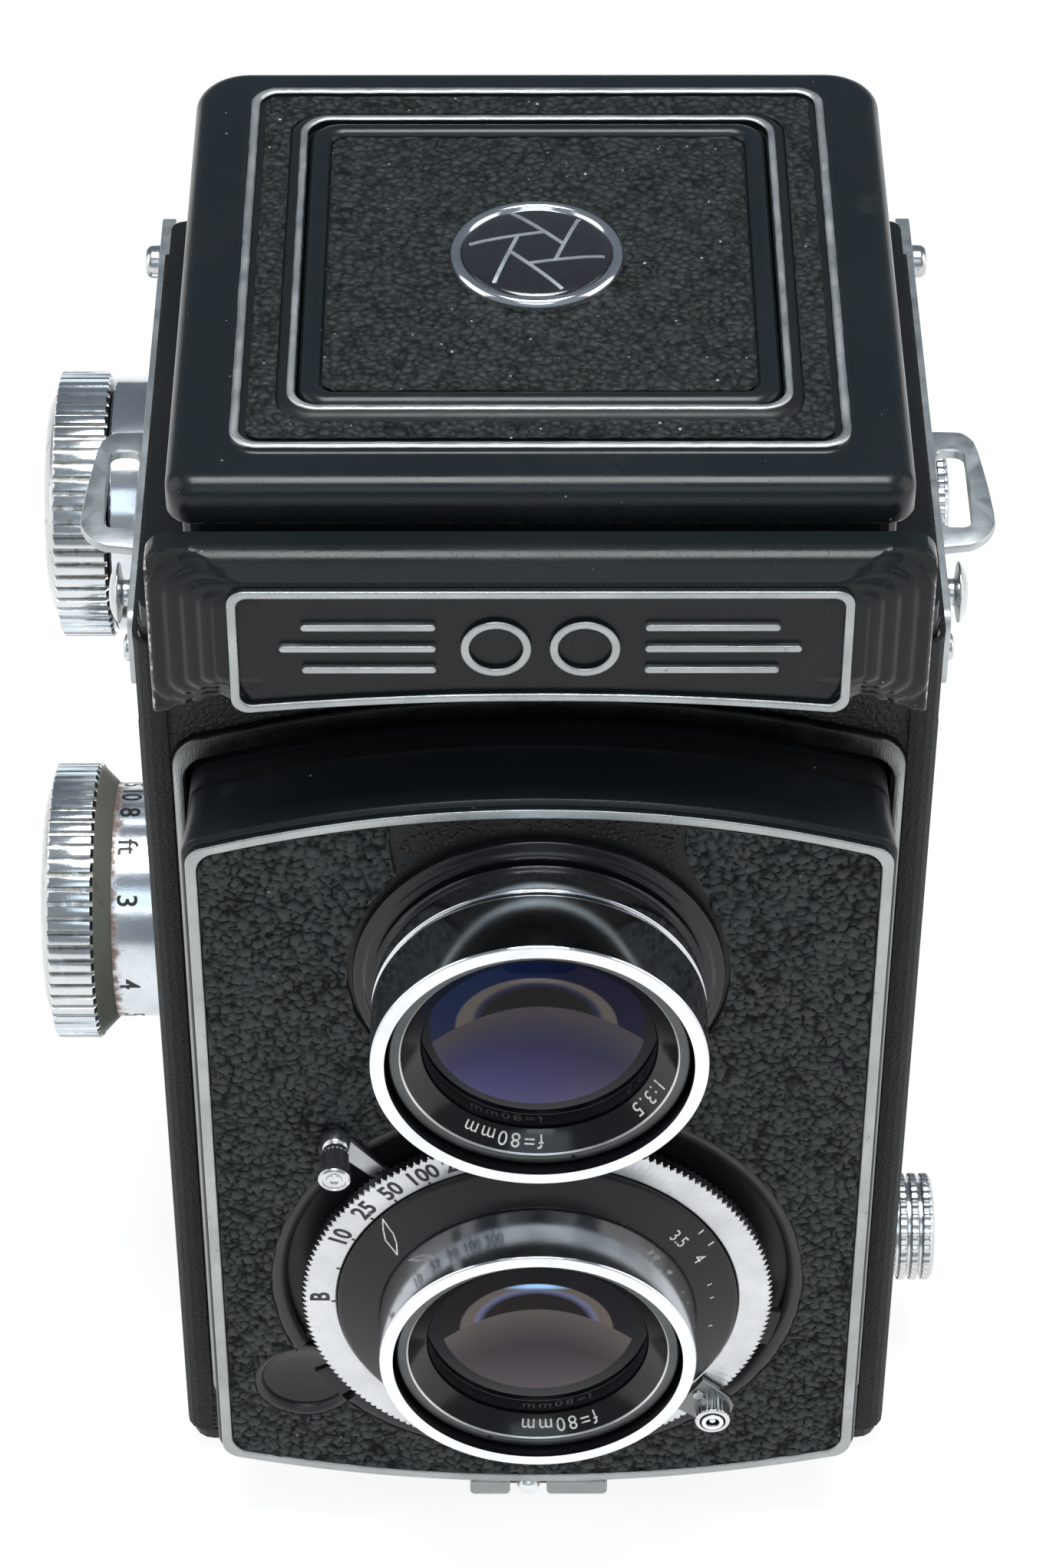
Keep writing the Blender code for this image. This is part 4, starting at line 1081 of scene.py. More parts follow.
def well_rims():
    part = Piece()
    open_rim(part, TAKE_LENS, WELL_R, RECESS, RECESS_R - 0.1, 1.0)
    open_rim(part, RECESS, RECESS_R, TAKE_LENS, WELL_R - 0.15, 0.6)
    part.lathe("Y", RECESS, [(4.9, -46.45), (4.9, -47.15, 0.2), (4.2, -47.12, 0.4),
                             (2.8, -46.80, 1.0), (0.0, -46.62)], BLACK_GLOSS, 72)
    part.finish("well_and_recess_rims", "lens_board", None, 50)


# ===================================================================== lenses
def viewing_mount():
    part = Piece()
    profile = [
        (10.6, -45.6), (17.85, -45.6), (17.85, -48.5, 0.25), (16.9, -48.6, 0.1),
        (16.6, -48.9, 0.1), (15.2, -49.0), (15.2, -49.4), (15.85, -49.4, 0.08),
        (MOUNT_R, -49.6, 0.08), (MOUNT_R, -52.9, 0.14), (15.5, -53.1, 0.05),
        (15.5, -53.4, 0.05), (MOUNT_R, -53.6, 0.14), (MOUNT_R, -60.30, 0.12),
        (15.88, -60.5, 0.08), (14.62, -60.5, 0.03), (14.6, -60.3), (14.58, -57.6),
        (10.6, -54.2)]
    materials = ([BLACK_GLOSS] * 5 + [BLACK_MATTE] + [CHROME] * 4 + [BLACK_MATTE]
                 + [CHROME] * 3 + [CHROME_FRONT] + [BLACK_GLOSS] * 2 + [BLACK_MATTE])
    part.lathe("Y", VIEW_LENS, profile, materials, 192, closed=True)
    part.finish("viewing_mount", "lens_board", "viewing_barrel", 28)


def taking_mount():
    part = Piece()
    profile = [(10.6, -50.9), (MOUNT_R, -50.9), (MOUNT_R, -58.40, 0.12), (15.88, -58.6, 0.08),
               (14.62, -58.6, 0.03), (14.6, -58.4), (14.58, -55.7), (10.6, -52.4)]
    materials = [BLACK_MATTE, CHROME, CHROME, CHROME_FRONT, BLACK_GLOSS, BLACK_GLOSS,
                 BLACK_MATTE]
    part.lathe("Y", TAKE_LENS, profile, materials, 192, closed=True)
    part.finish("taking_mount", "lens_board", "taking_barrel", 28)


# lettered cone of a retaining ring: radius and setback at its outer and inner edge
CONE_OUT, CONE_IN = (13.08, 0.75), (11.24, 2.25)


def cone_text(part, body, centre, ring_y, degrees):
    """clockwise round the cone as seen from the front, tops outwards"""
    radius = 12.2
    slope = (CONE_IN[1] - CONE_OUT[1]) / (CONE_OUT[0] - CONE_IN[0])

    def position(along, up, out):
        a = radians(degrees) - along / radius
        r = radius + (up - 0.75) * 0.74
        y = ring_y + CONE_OUT[1] + (CONE_OUT[0] - r) * slope
        return (centre[0] + (r - out * 0.6) * cos(a), y - out * 0.8,
                centre[1] + (r - out * 0.6) * sin(a))

    part.text(body, 2.15, position, WHITE_INK, stretch=0.95, gap=1.25)


def retaining_ring(name, centre, ring_y, slots, texts):
    """screwed-in ring with two key slots, lettered cone and seat of the front element"""
    part = Piece()
    # radius, setback from ring_y, fillet
    profile = [(14.35, 1.8), (14.35, 0.75, 0.1), (14.15, 0.50, 0.12), (13.40, 0.50, 0.06),
               (13.24, 0.60, 0.04), (13.14, 0.66), CONE_OUT, CONE_IN, (11.22, 2.6),
               (10.4, 3.4), (10.4, 6.4), (14.35, 6.4)]
    materials = ([BLACK_SATIN] + [RING_DARK] * 3 + [EDGE_WORN] * 2
                 + [CONE, BLACK_GLOSS, BLACK_MATTE])
    part.lathe("Y", centre, [(r, ring_y + back, *fillet) for r, back, *fillet in profile],
               materials, 192, closed=True)
    for degrees in slots:
        a = radians(degrees)
        x, z = centre[0] + 13.8 * cos(a), centre[1] + 13.8 * sin(a)
        outline = [(x + cos(a) * p - sin(a) * q, z + sin(a) * p + cos(a) * q)
                   for p, q in round_rect(-0.38, 0.38, -0.22, 0.22, 0.1, 3)]
        part.prism(outline, "Y", ring_y + 0.60, ring_y + 0.47, BLACK_MATTE, 0.02)
    for body, degrees in texts:
        cone_text(part, body, centre, ring_y, degrees)
    part.finish(name, "lens_board", None, 28)


def front_glass(name, node, centre, edge_y, glass):
    part = Piece()
    back, steps = 1.2, 14
    sphere = (GLASS_R ** 2 + GLASS_BULGE ** 2) / (2 * GLASS_BULGE)
    profile = [(0, edge_y + back), (GLASS_R - 0.02, edge_y + back), (GLASS_R, edge_y)]
    for i in range(1, steps + 1):
        r = GLASS_R * (1 - i / steps)
        profile.append((r, edge_y - (math.sqrt(sphere ** 2 - r ** 2)
                                     - (sphere - GLASS_BULGE))))
    part.lathe("Y", centre, profile, [BLACK_MATTE, BLACK_MATTE, glass], 96)
    part.finish(name, "lens_board", node, 60)


def viewing_lens():
    viewing_mount()
    retaining_ring("viewing_retaining_ring", VIEW_LENS, VIEW_RING_Y, (97, -76),
                   (("1:3.5", -30), ("f=80mm", -107)))
    front_glass("viewing_front_glass", "viewing_front_element", VIEW_LENS, VIEW_GLASS_Y,
                VIEW_GLASS)


def taking_lens():
    taking_mount()
    retaining_ring("taking_retaining_ring", TAKE_LENS, TAKE_RING_Y, (-111, 69),
                   (("f=80mm", -79),))
    front_glass("taking_front_glass", "taking_front_element", TAKE_LENS, TAKE_GLASS_Y,
                TAKE_GLASS)


# ===================================================================== shutter
def face_y(r):
    """depth of the conical shutter face at a radius"""
    return -52.2 + (r - 16.2) * 0.3816


def arc_text(part, body, size, radius, degrees, depth, mat, **style):
    """text clockwise round the taking lens, on a surface at depth(r)"""
    def position(along, up, out):
        a = radians(degrees) - along / radius
        r = radius + up - 0.35 * size
        return (r * cos(a), depth(r) - out, TAKE_Z + r * sin(a))

    part.text(body, size, position, mat, **style)


def face_line(part, points, width):
    """thin raised line through (radius, degrees) points on the conical face"""
    flat = [(r * cos(radians(a)), r * sin(radians(a))) for r, a in points]
    rows = []
    for i, (x, z) in enumerate(flat):
        before, after = flat[max(0, i - 1)], flat[min(len(flat) - 1, i + 1)]
        dx, dz = after[0] - before[0], after[1] - before[1]
        length = hypot(dx, dz)
        nx, nz = -dz / length * width / 2, dx / length * width / 2
        corners = ((x + nx, z + nz, -0.03), (x + nx, z + nz, 0.02),
                   (x - nx, z - nz, 0.02), (x - nx, z - nz, -0.03))
        rows.append([(a, face_y(hypot(a, b)) - out, TAKE_Z + b) for a, b, out in corners])
    part.loft(rows, WHITE_INK, (WHITE_INK, WHITE_INK))


def shutter_face():
    part = Piece()
    part.lathe("Y", TAKE_LENS, [(15.95, -46.3), (15.95, -52.0, 0.05), (16.2, -52.2, 0.15),
                                (20.0, -50.75, 0.1), (20.36, -50.55, 0.1), (20.36, -46.3)],
               FACE, 192, closed=True)
    # aperture scale: number, its radius and angle, angle of its line
    for body, radius, degrees, line in (("3.5", 17.9, 37.6, 34.2), ("4", 18.1, 25.8, 28.3)):
        arc_text(part, body, 1.75, radius, degrees, face_y, WHITE_INK)
        face_line(part, [(19.45, line), (20.1, line)], 0.16)
    for degrees, length in ((13.0, 0.5), (6.6, 0.4), (-7.4, 0.4)):
        face_line(part, [(17.6, degrees), (17.6 + length, degrees)], 0.12)
    # two sides of the pointer: angles at the shared radii
    radii = (20.2, 19.4, 18.5, 17.6, 16.75)
    for angles in ((140.2, 143.0, 145.6, 146.4, 147.4), (140.2, 140.9, 141.6, 143.6, 147.4)):
        face_line(part, list(zip(radii, angles)), 0.15)
    part.finish("shutter_front_face", "lens_board", "shutter_face", 28)


def well_floor():
    part = Piece()
    part.lathe("Y", TAKE_LENS, [(19.9, -46.35), (26.9, -46.35), (26.9, -46.50),
                                (19.9, -46.50)], BLACK_SATIN, 96, closed=True)
    part.finish("well_floor", "lens_board", None, 30)


def phase(angle, count):
    """0..1 through each of count equal parts of a turn"""
    return (angle * count / (2 * pi)) % 1.0


def speed_ring():
    """fine teeth on its edge, dark sides, satin face"""
    teeth, outer, face = 186, 23.98, -50.32

    def toothed(r, height, angle):
        if r < 23.3:
            return r
        return min(r, outer - 0.52 * abs(2 * phase(angle, teeth) - 1))

    part = Piece()
    part.lathe("Y", TAKE_LENS,
               [(20.45, -48.95), (23.6, -48.95), (outer, -49.1), (outer, -50.05),
                (23.75, -50.24), (23.3, face), (20.62, face, 0.06), (20.45, -50.2)],
               [SPEED_SIDE] * 3 + [SPEED] * 4 + [SPEED_SIDE], teeth * 8, closed=True, soft=2,
               radial=toothed)
    for body, radius, degrees in (("B", 22.2, 178.0), ("10", 22.2, 153.7),
                                  ("25", 22.25, 141.5), ("50", 22.25, 131.3),
                                  ("100", 22.25, 121.2), ("200", 22.25, 110.3)):
        arc_text(part, body, 2.75, radius, degrees, lambda r: face, BLACK_INK, stretch=0.86,
                 weight=0.028)
    for degrees in (179.7, 165.8, 153.0, 142.9, 133.0, 121.2, 110.0):
        a = radians(degrees)
        outline = [(cos(a) * r - sin(a) * t, TAKE_Z + sin(a) * r + cos(a) * t)
                   for r, t in ((20.55, -0.12), (21.0, -0.12), (21.0, 0.12), (20.55, 0.12))]
        part.prism(outline, "Y", face + 0.02, face - 0.02, BLACK_INK)
    part.finish("speed_ring_toothed", "speed_ring", "speed_ring", 24)


def sector(inner, outer, start, end, steps=16):
    """piece of a ring round the taking lens, angles in degrees"""
    angles = [start + (end - start) * i / steps for i in range(steps + 1)]
    back = [end - (end - start) * i / steps for i in range(steps + 1)]
    return ([(outer * cos(radians(a)), TAKE_Z + outer * sin(radians(a))) for a in angles]
            + [(inner * cos(radians(a)), TAKE_Z + inner * sin(radians(a))) for a in back])


def knurl(count, depth, inner, low=-math.inf, high=math.inf):
    """waves cut into radii beyond inner, between two heights"""
    def radial(r, height, angle):
        if r < inner or not low <= height <= high:
            return r
        return r - depth * (0.5 + 0.5 * cos(2 * pi * phase(angle, count)))
    return radial


LEVER_Y = (-48.15, -48.75)        # back and front of the levers behind the speed ring


def cocking_lever():
    part = Piece()
    part.prism(sector(20.6, 30.2, 130.0, 134.4, 8), "Y", *LEVER_Y, STEEL, 0.1)
    part.lathe("Y", (-20.05, 60.75),
               [(0, -48.2), (1.5, -48.2), (1.5, -48.9, 0.3), (1.35, -49.6, 0.3),
                (1.15, -49.8, 0.1), (1.15, -50.3, 0.1), (1.38, -50.45, 0.08),
                (1.42, -52.9, 0.08), (1.62, -53.1, 0.06), (1.62, -53.7, 0.1),
                (1.35, -53.9, 0.06), (1.2, -53.9), (1.12, -53.72), (0.85, -53.72),
                (0.78, -53.92, 0.05), (0.42, -53.95), (0.36, -53.75), (0, -53.75)],
               KNURL, 144, radial=knurl(18, 0.16, 1.3, -52.95, -50.4))
    part.finish("cocking_arm_and_pin", "cocking_lever", "cocking_lever", 30)


def lever_tabs():
    for name, outer, start, end in (("aperture_lever", 25.3, -20.0, -8.0),
                                    ("release_lever", 26.4, 209.0, 219.0)):
        part = Piece()
        part.prism(sector(20.6, outer, start, end), "Y", *LEVER_Y, BLACK_SATIN, 0.12)
        part.finish(name + "_tab", name, name, 30)


def sync_socket():
    part = Piece()
    centre = (18.2, 23.2)
    a = radians(-41.0)
    # arm outline: distance from the taking axis along -41 degrees, and sideways
    arm = [(20.42, -2.6), (20.75, -1.2), (20.85, 0), (20.75, 1.2), (20.42, 2.6), (22.4, 2.5),
           (24.4, 2.3), (25.6, 1.8), (26.2, 0.8), (26.2, -0.8), (25.6, -1.8), (24.4, -2.3),
           (22.4, -2.5)]
    part.prism([(r * cos(a) - t * sin(a), TAKE_Z + r * sin(a) + t * cos(a)) for r, t in arm],
               "Y", -50.55, -51.1, SOCKET_ARM, 0.15)
    part.lathe("Y", centre,
               [(0, -50.9), (1.85, -50.9), (1.85, -53.0, 0.1), (1.7, -53.2, 0.1),
                (1.35, -53.2, 0.05), (1.3, -53.05), (1.15, -53.05), (1.12, -53.35, 0.05),
                (0.72, -53.38, 0.05), (0.66, -53.1), (0.66, -52.4), (0.0, -52.4)],
               [CHROME_DIRTY] + [KNURL] * 3 + [BLACK_MATTE] * 2 + [CHROME_FRONT] * 3
               + [BLACK_MATTE], 144, radial=knurl(24, 0.14, 1.6, -53.05, -51.0))
    part.lathe("Y", centre, [(0, -52.4), (0.40, -52.4), (0.36, -53.1, 0.1), (0, -53.2)],
               CHROME, 32)
    part.lathe("Y", (16.7, 25.2), [(0, -51.1), (0.6, -51.1), (0.55, -51.45, 0.1),
                                   (0, -51.5)], STEEL, 24)
    part.finish("sync_socket_arm", "lens_board", "sync_socket", 30)


def board_bracket():
    """two blocks, a bridge and a pin under the board"""
    part = Piece()
    for x0, x1 in ((-7.1, -2.8), (1.1, 7.6)):
        part.prism(round_rect(x0, x1, 3.9, 6.25, 0.5, 4), "Y", -44.6, -47.3, FLANGE, 0.35)
    part.prism(round_rect(-3.4, 1.7, 4.1, 6.25, 0.2, 3), "Y", -44.6, -45.9, BLACK_SATIN, 0.2)
    part.lathe("Y", (-0.85, 4.95), [(0, -45.6), (1.3, -45.6), (1.3, -46.7, 0.4),
                                    (0.9, -47.35, 0.5), (0, -47.6)], CHROME_FRONT, 48)
    part.finish("board_bracket_blocks", "lens_board", "board_bracket", 35)


# ===================================================================== front of the body
def front_flange():
    part = Piece()
    outer = board_outline(34.78, 110.2, 4.2, 3.2)
    inner = board_outline(33.75, 107.6, 5.9, 2.6)
    # share of the way from the outer to the inner outline, and y
    section = ((0, -37.45), (0, -38.15), (0.06, -38.33), (0.14, -38.36), (0.86, -38.36),
               (0.95, -38.30), (1.0, -38.12), (1.0, -37.45))
    part.loft([[(p[0] * (1 - t) + q[0] * t, y, p[1] * (1 - t) + q[1] * t)
                for p, q in zip(outer, inner)] for t, y in section], FLANGE, closed=True)
    part.finish("front_flange_band", "camera_body", "front_flange", 40)


PLATE_X, PLATE_TOP, PLATE_Y = 35.5, 134.4, -48.0    # nameplate half width, top, front
FLUTES = (6.3, 4.9, 3.4, 1.8, -0.05)    # steps of the end flutes, distance inside the end
# rise and setback of the sloping facet above the badge field, edges well rounded
FACET = soften([(-0.70, 0.0), (0.0, 0.0, 0.62), (1.80, 1.80, 0.62), (2.10, 2.70)],
               steps=7)[0]


def smooth(t):
    t = max(0.0, min(1.0, t))
    return t * t * (3 - 2 * t)


def flute_depth(distance):
    """setback of the fluted ends at a distance inside the outer contour"""
    depth = 0.0
    for high, low in zip(FLUTES, FLUTES[1:]):
        if distance < high:
            t = min(1.0, (high - distance) / (high - low))
            # each flute starts with a small step and falls away convexly
            depth += 0.20 * smooth(t * 5) + 0.44 * (1 - math.sqrt(max(0.0, 1 - t * t)))
    return depth


def plate_bottom(x):
    """lower edge; the set-back ends hang lower"""
    return 118.4 - 1.35 * (abs(x) / 33.0) ** 2 - 0.9 * flute_depth(PLATE_X - abs(x))


def plate_top(x):
    across = abs(x) - 33.0
    if across <= 0:
        return PLATE_TOP
    return PLATE_TOP - (2.5 - math.sqrt(max(0.0, 2.5 ** 2 - across ** 2))) * 0.9


def plate_setback(x, z):
    """depth of the flutes, which turn round the upper and lower corners"""
    across = abs(x)
    if across < 25.2:
        return 0.0
    distance, fade = PLATE_X - across, 1.0
    over = max(0.0, across - 28.0) / 7.5
    if z > 129.6:
        distance = min(distance, 7.5 * (1 - hypot(over, (z - 129.6) / 4.9)))
        fade = 1.0 + (smooth((across - 25.8) / 6.0) - 1.0) * smooth((z - 129.6) / 2.0)
    low = plate_bottom(x)
    if z < low + 4.4:
        t = (low + 4.4 - z) / 4.7
        distance = min(distance, 7.5 * (1 - hypot(over, t)))
        fade = 1.0 + (smooth((across - 26.0) / 3.6) - 1.0) * smooth(t * 2.2)
    return flute_depth(distance) * fade


def plate_section(x):
    """closed (x, y, z) section of the nameplate at x"""
    low, top = plate_bottom(x), plate_top(x)
    drop = PLATE_TOP - top
    past = abs(x) - (PLATE_X - 0.6)
    round_end = 0.0 if past < 0 else 0.6 - math.sqrt(max(0.0, 0.36 - past * past))
    foot = PLATE_Y + plate_setback(x, low + 0.3) + round_end
    ring = [(-37.55, low + 0.05), (-44.0, low), (foot + 0.45, low), (foot + 0.12, low + 0.12),
            (foot, low + 0.42)]
    steps = 46
    facet_z = 132.3 - drop
    for k in range(1, steps + 1):
        z = low + 0.42 + (facet_z - 0.75 - low - 0.42) * k / steps
        ring.append((PLATE_Y + plate_setback(x, z) + round_end, z))
    blend = 0.25
    for rise, back in FACET:
        z = facet_z + rise
        t = max(0.0, min(1.0, rise / 2.0))
        flute = plate_setback(x, min(z + drop * 0.3, 134.35))
        # the deeper of flute and facet, with the crease between them rounded
        depth = max(flute, back) + max(0.0, blend - abs(flute - back)) ** 2 / (4 * blend)
        ring.append((PLATE_Y + depth + round_end * (1 - t), z))
    ring += [(max(ring[-1][0] + 0.6, -45.0), top), (-42.95, top), (-42.75, top - 0.2),
             (-42.75, 120.9), (-37.55, 120.9)]
    return [(x, y, z) for y, z in ring]


def nameplate():
    part = Piece()
    ends = [25.0 + 0.11 * i for i in range(1, 96)] + [PLATE_X]
    stations = sorted([-x for x in ends] + list(range(-25, 26)) + ends)
    part.loft([plate_section(x) for x in stations],
              [PAINT_EDGE if abs(x) > 35.25 else NAMEPLATE for x in stations[:-1]],
              (NAMEPLATE, NAMEPLATE))
    part.finish("nameplate_casting", "camera_body", "nameplate", 38)


def plate_frame(depth):
    """frame outline: straight top, bowed bottom"""
    radius = max(0.3, 1.6 - depth * 0.6)
    flat, steps = 40, 8
    end = 28.05 - depth - radius
    top = 132.0 - depth

    def bottom(x):
        return 119.0 + depth - 1.25 * (x / 25.0) ** 2

    low, high = bottom(end) + radius, top - radius
    whole = range(steps + 1)
    return ([(x, bottom(x)) for x in (-end + 2 * end * i / flat for i in range(flat + 1))]
            + quarter(end, low, radius, -90, steps, whole[1:])
            + quarter(end, high, radius, 0, steps, whole)
            + [(end - 2 * end * i / flat, top) for i in range(1, flat)]
            + quarter(-end, high, radius, 90, steps, whole)
            + quarter(-end, low, radius, 180, steps, whole[:-1]))


def nameplate_trim():
    part = Piece()
    part.ring([(0.0, -47.9), (0.0, -48.45, 0.12), (0.14, -48.6, 0.12), (0.72, -48.6, 0.12),
               (0.86, -48.45, 0.12), (0.9, -48.06), (0.9, -47.9)], plate_frame, "Y",
              [NAMEPLATE] + [SATIN] * 3 + [NAMEPLATE])
    for x in (-4.0, 4.0):
        part.lathe("Y", (x, 125.2),
                   [(2.4, -47.9), (3.2, -47.9), (3.2, -48.42, 0.1), (3.08, -48.55, 0.1),
                    (2.52, -48.55, 0.1), (2.4, -48.42, 0.1)],
                   [NAMEPLATE] * 2 + [SATIN] * 3 + [NAMEPLATE], 64, closed=True)
    for side in (-1, 1):
        for z, end in ((127.7, 21.5), (125.2, 23.5), (122.7, 21.5)):
            x0, x1 = sorted((side * 9.4, side * end))
            part.prism(round_rect(x0, x1, z - 0.35, z + 0.35, 0.34, 5), "Y", -47.9, -48.55,
                       SATIN, 0.14)
    part.finish("nameplate_frame_and_relief", "camera_body", "nameplate_trim",
                40)


# ===================================================================== hood lid
def lid_rect(half_x, front, back, radius, back_radius=None):
    back_radius = radius if back_radius is None else back_radius
    return round_rect(-half_x, half_x, front, back,
                      (radius, radius, back_radius, back_radius), 12)


def lid_edge(depth):
    return lid_rect(33.6 - depth, -42.2 + depth, 23.6 - depth, max(0.4, 2.6 - depth * 0.7),
                    max(0.6, 5.0 - depth * 0.8))


def hood_lid():
    rings = [level(lid_edge(depth), z) for depth, z in (
        (0.8, 134.75), (0.75, 134.6), (0.1, 134.6), (0.0, 134.8), (0.0, 137.1))]
    for k in range(1, 9):
        a = pi / 2 * k / 8
        rings.append(level(lid_edge(1.9 * (1 - cos(a))), 137.1 + 1.9 * sin(a)))
    # flat top, then the fillet at the rib
    rings.append(level(lid_rect(28.75, -38.05, 20.15, 3.0), 139.0))
    for k in range(1, 6):
        a = pi / 2 * k / 5
        depth = 0.55 * sin(a)
        rings.append(level(lid_rect(28.6 - depth, -37.9 + depth, 20.0 - depth, 2.9),
                           139.0 + 0.38 * (1 - cos(a))))
    # half width, front y, back y, corner radius, z
    for *rect, z in ((27.9, -37.2, 19.3, 2.5, 139.4), (27.2, -36.5, 18.6, 1.9, 139.3),
                     (27.15, -36.45, 18.55, 1.8, LID_FLOOR_Z),
                     (26.4, -35.7, 17.8, 1.3, LID_FLOOR_Z),
                     (24.1, -33.4, 15.15, 3.4, LID_FLOOR_Z),
                     # ridge that carries the inner bright line
                     (23.75, -33.05, 14.8, 3.2, 139.45), (23.3, -32.6, 14.35, 3.0, 139.72),
                     (22.45, -31.75, 13.5, 2.6, 139.72), (22.4, -31.7, 13.45, 2.6, 138.95),
                     # opening for the flap
                     (22.2, -31.5, 13.25, 2.5, 138.9), (22.2, -31.5, 13.25, 2.5, 138.1)):
        rings.append(level(lid_rect(*rect), z))
    # underside, out to the inside of the skirt
    rings += [level(lid_edge(1.0), 138.1), level(lid_edge(0.8), 137.9)]
    part = Piece()
    part.loft(rings, [BLACK] + [PAINT_EDGE] * 2 + [PAINT_LID] * 16 + [BLACK_SATIN] * 10
              + [BLACK], closed=True)
    part.finish("hood_lid_shell", "hood_lid", "hood_lid", 32)


def dense(points):
    """rounded rectangle with its four straight sides divided"""
    steps = 40
    out = []
    for p, q in pairs(points):
        out.append(p)
        if hypot(q[0] - p[0], q[1] - p[1]) > 8:
            out += [lerp(p, q, k / steps) for k in range(1, steps)]
    return out


def lid_ribs():
    part = Piece()
    materials = [SATIN_TOP] * 4 + [BLACK_SATIN]

    def outer(depth):
        rect = lid_rect(28.0 - depth, -37.27 + depth, 19.37 - depth, 2.6 - depth * 0.8)
        return ragged(dense(rect), 0.05, 1.6, 1.0, other_seed=3)

    def inner(depth):
        rect = lid_rect(23.0 - depth, -32.28 + depth, 14.05 - depth, 2.9 - depth * 0.8)
        return ragged(dense(rect), 0.035, 1.4, 6.0, other_seed=3)

    part.ring([(0.0, 139.2), (0.0, 139.42, 0.1), (0.18, 139.56, 0.15), (0.68, 139.56, 0.15),
               (0.86, 139.40, 0.1), (0.86, 139.0)], outer, "Z", materials)
    part.ring([(0.0, 139.6), (0.0, 139.82, 0.08), (0.12, 139.93, 0.1), (0.58, 139.93, 0.1),
               (0.72, 139.80, 0.08), (0.72, 139.5)], inner, "Z", materials)
    part.finish("lid_bright_ribs", "hood_lid", "lid_trim", 45)


LID_STEP = 0.22


def lid_leather():
    part = Piece()
    part.sheet(ragged(resample(lid_rect(26.5, -35.8, 17.9, 1.3), 0.7), 0.05, 1.0, 1.0),
               ragged(resample(lid_rect(24.0, -33.3, 15.05, 3.3), 0.7), 0.05, 1.0, 2.0),
               LID_STEP, lambda x, y, out: (x, y, LID_FLOOR_Z + out), 0.22, lid_relief,
               LID_LEATHER, LID_LEATHER)
    part.finish("lid_leather_frame", "hood_lid", "lid_leather", 60)


def finder_flap():
    """flap with a rounded painted border"""
    def edge(depth):
        return lid_rect(22.05 - depth, -31.35 + depth, 13.10 - depth,
                        max(0.8, 2.7 - depth * 0.6))

    rings = [level(edge(0.15), 138.3)]
    for k in range(13):
        a = pi * k / 12
        rings.append(level(edge(1.05 - 1.05 * cos(a)),
                           138.95 + 0.95 * sin(a) ** 0.9 + 0.12 * (k / 12)))
    rings.append(level(edge(2.25), 139.06))
    part = Piece()
    part.loft(rings, PAINT_LID, (PAINT_LID, PAINT_LID))
    part.finish("finder_flap_plate", "hood_lid", "finder_flap", 34)


BADGE = (-0.2, -9.0)              # x, y


def flap_leather():
    part = Piece()
    part.sheet(ragged(resample(lid_rect(19.8, -28.9, 10.95, 1.5), 0.7), 0.10, 1.2, 1.0),
               circle(BADGE, 8.05, 90), LID_STEP, lambda x, y, out: (x, y, 139.00 + out),
               0.24, lid_relief, LID_LEATHER, LID_LEATHER)
    part.finish("finder_flap_leather", "hood_lid", None, 60)


def hood_badge():
    """chrome rim, black enamel dome, iris of six straight lines"""
    part = Piece()
    radius, base, rise = 7.0, 140.1, 0.75
    arc = [pi / 2 * k / 12 for k in range(1, 12)]
    part.lathe("Z", BADGE,
               [(0, 139.1), (8.28, 139.1), (8.28, 139.95, 0.35), (7.95, 140.5, 0.35),
                (7.3, 140.48, 0.3), (7.08, 140.2, 0.1), (radius, base)]
               + [(radius * cos(t), base + rise * sin(t)) for t in arc] + [(0, base + rise)],
               [CHROME] * 6 + [ENAMEL], 160)
    iris, half_width, steps = 2.6, 0.19, 12
    for k in range(6):
        a, b = radians(60 * k + 12), radians(60 * (k + 1) + 12)
        start, end = (iris * cos(a), iris * sin(a)), (iris * cos(b), iris * sin(b))
        length = hypot(end[0] - start[0], end[1] - start[1])
        ux, uy = (end[0] - start[0]) / length, (end[1] - start[1]) / length
        # the line runs on past its corner to the rim of the enamel
        beyond = 0.0
        while hypot(end[0] + ux * beyond, end[1] + uy * beyond) < 6.4:
            beyond += 0.1
        rows = []
        for i in range(steps + 1):
            along = (length + beyond) * i / steps
            x, y = start[0] + ux * along, start[1] + uy * along
            z = base + rise * math.sqrt(max(0.0, 1 - (x * x + y * y) / radius ** 2))
            rows.append([(BADGE[0] + x + uy * w, BADGE[1] + y - ux * w, z + lift)
                         for w, lift in ((half_width, -0.15), (half_width, 0.05),
                                         (-half_width, 0.05), (-half_width, -0.15))])
        part.loft(rows, CHROME_FRONT, (CHROME_FRONT, CHROME_FRONT))
    part.finish("hood_badge_iris", "hood_lid", "hood_badge", 40)


# ===================================================================== strap plates
LOOP_CENTRE = (40.75, -8.7)       # distance from the middle of the body, y
# the same columns, round the loop shelf
LOOP_OUTLINE = [
    (38.2, 0.4), (41.9, 0.25), (42.7, -0.25), (43.3, -1.3), (43.65, -3.0), (44.25, -8.5),
    (44.5, -12.6), (44.45, -14.2), (43.9, -15.6), (43.1, -16.6), (42.1, -17.3), (38.2, -17.9)]
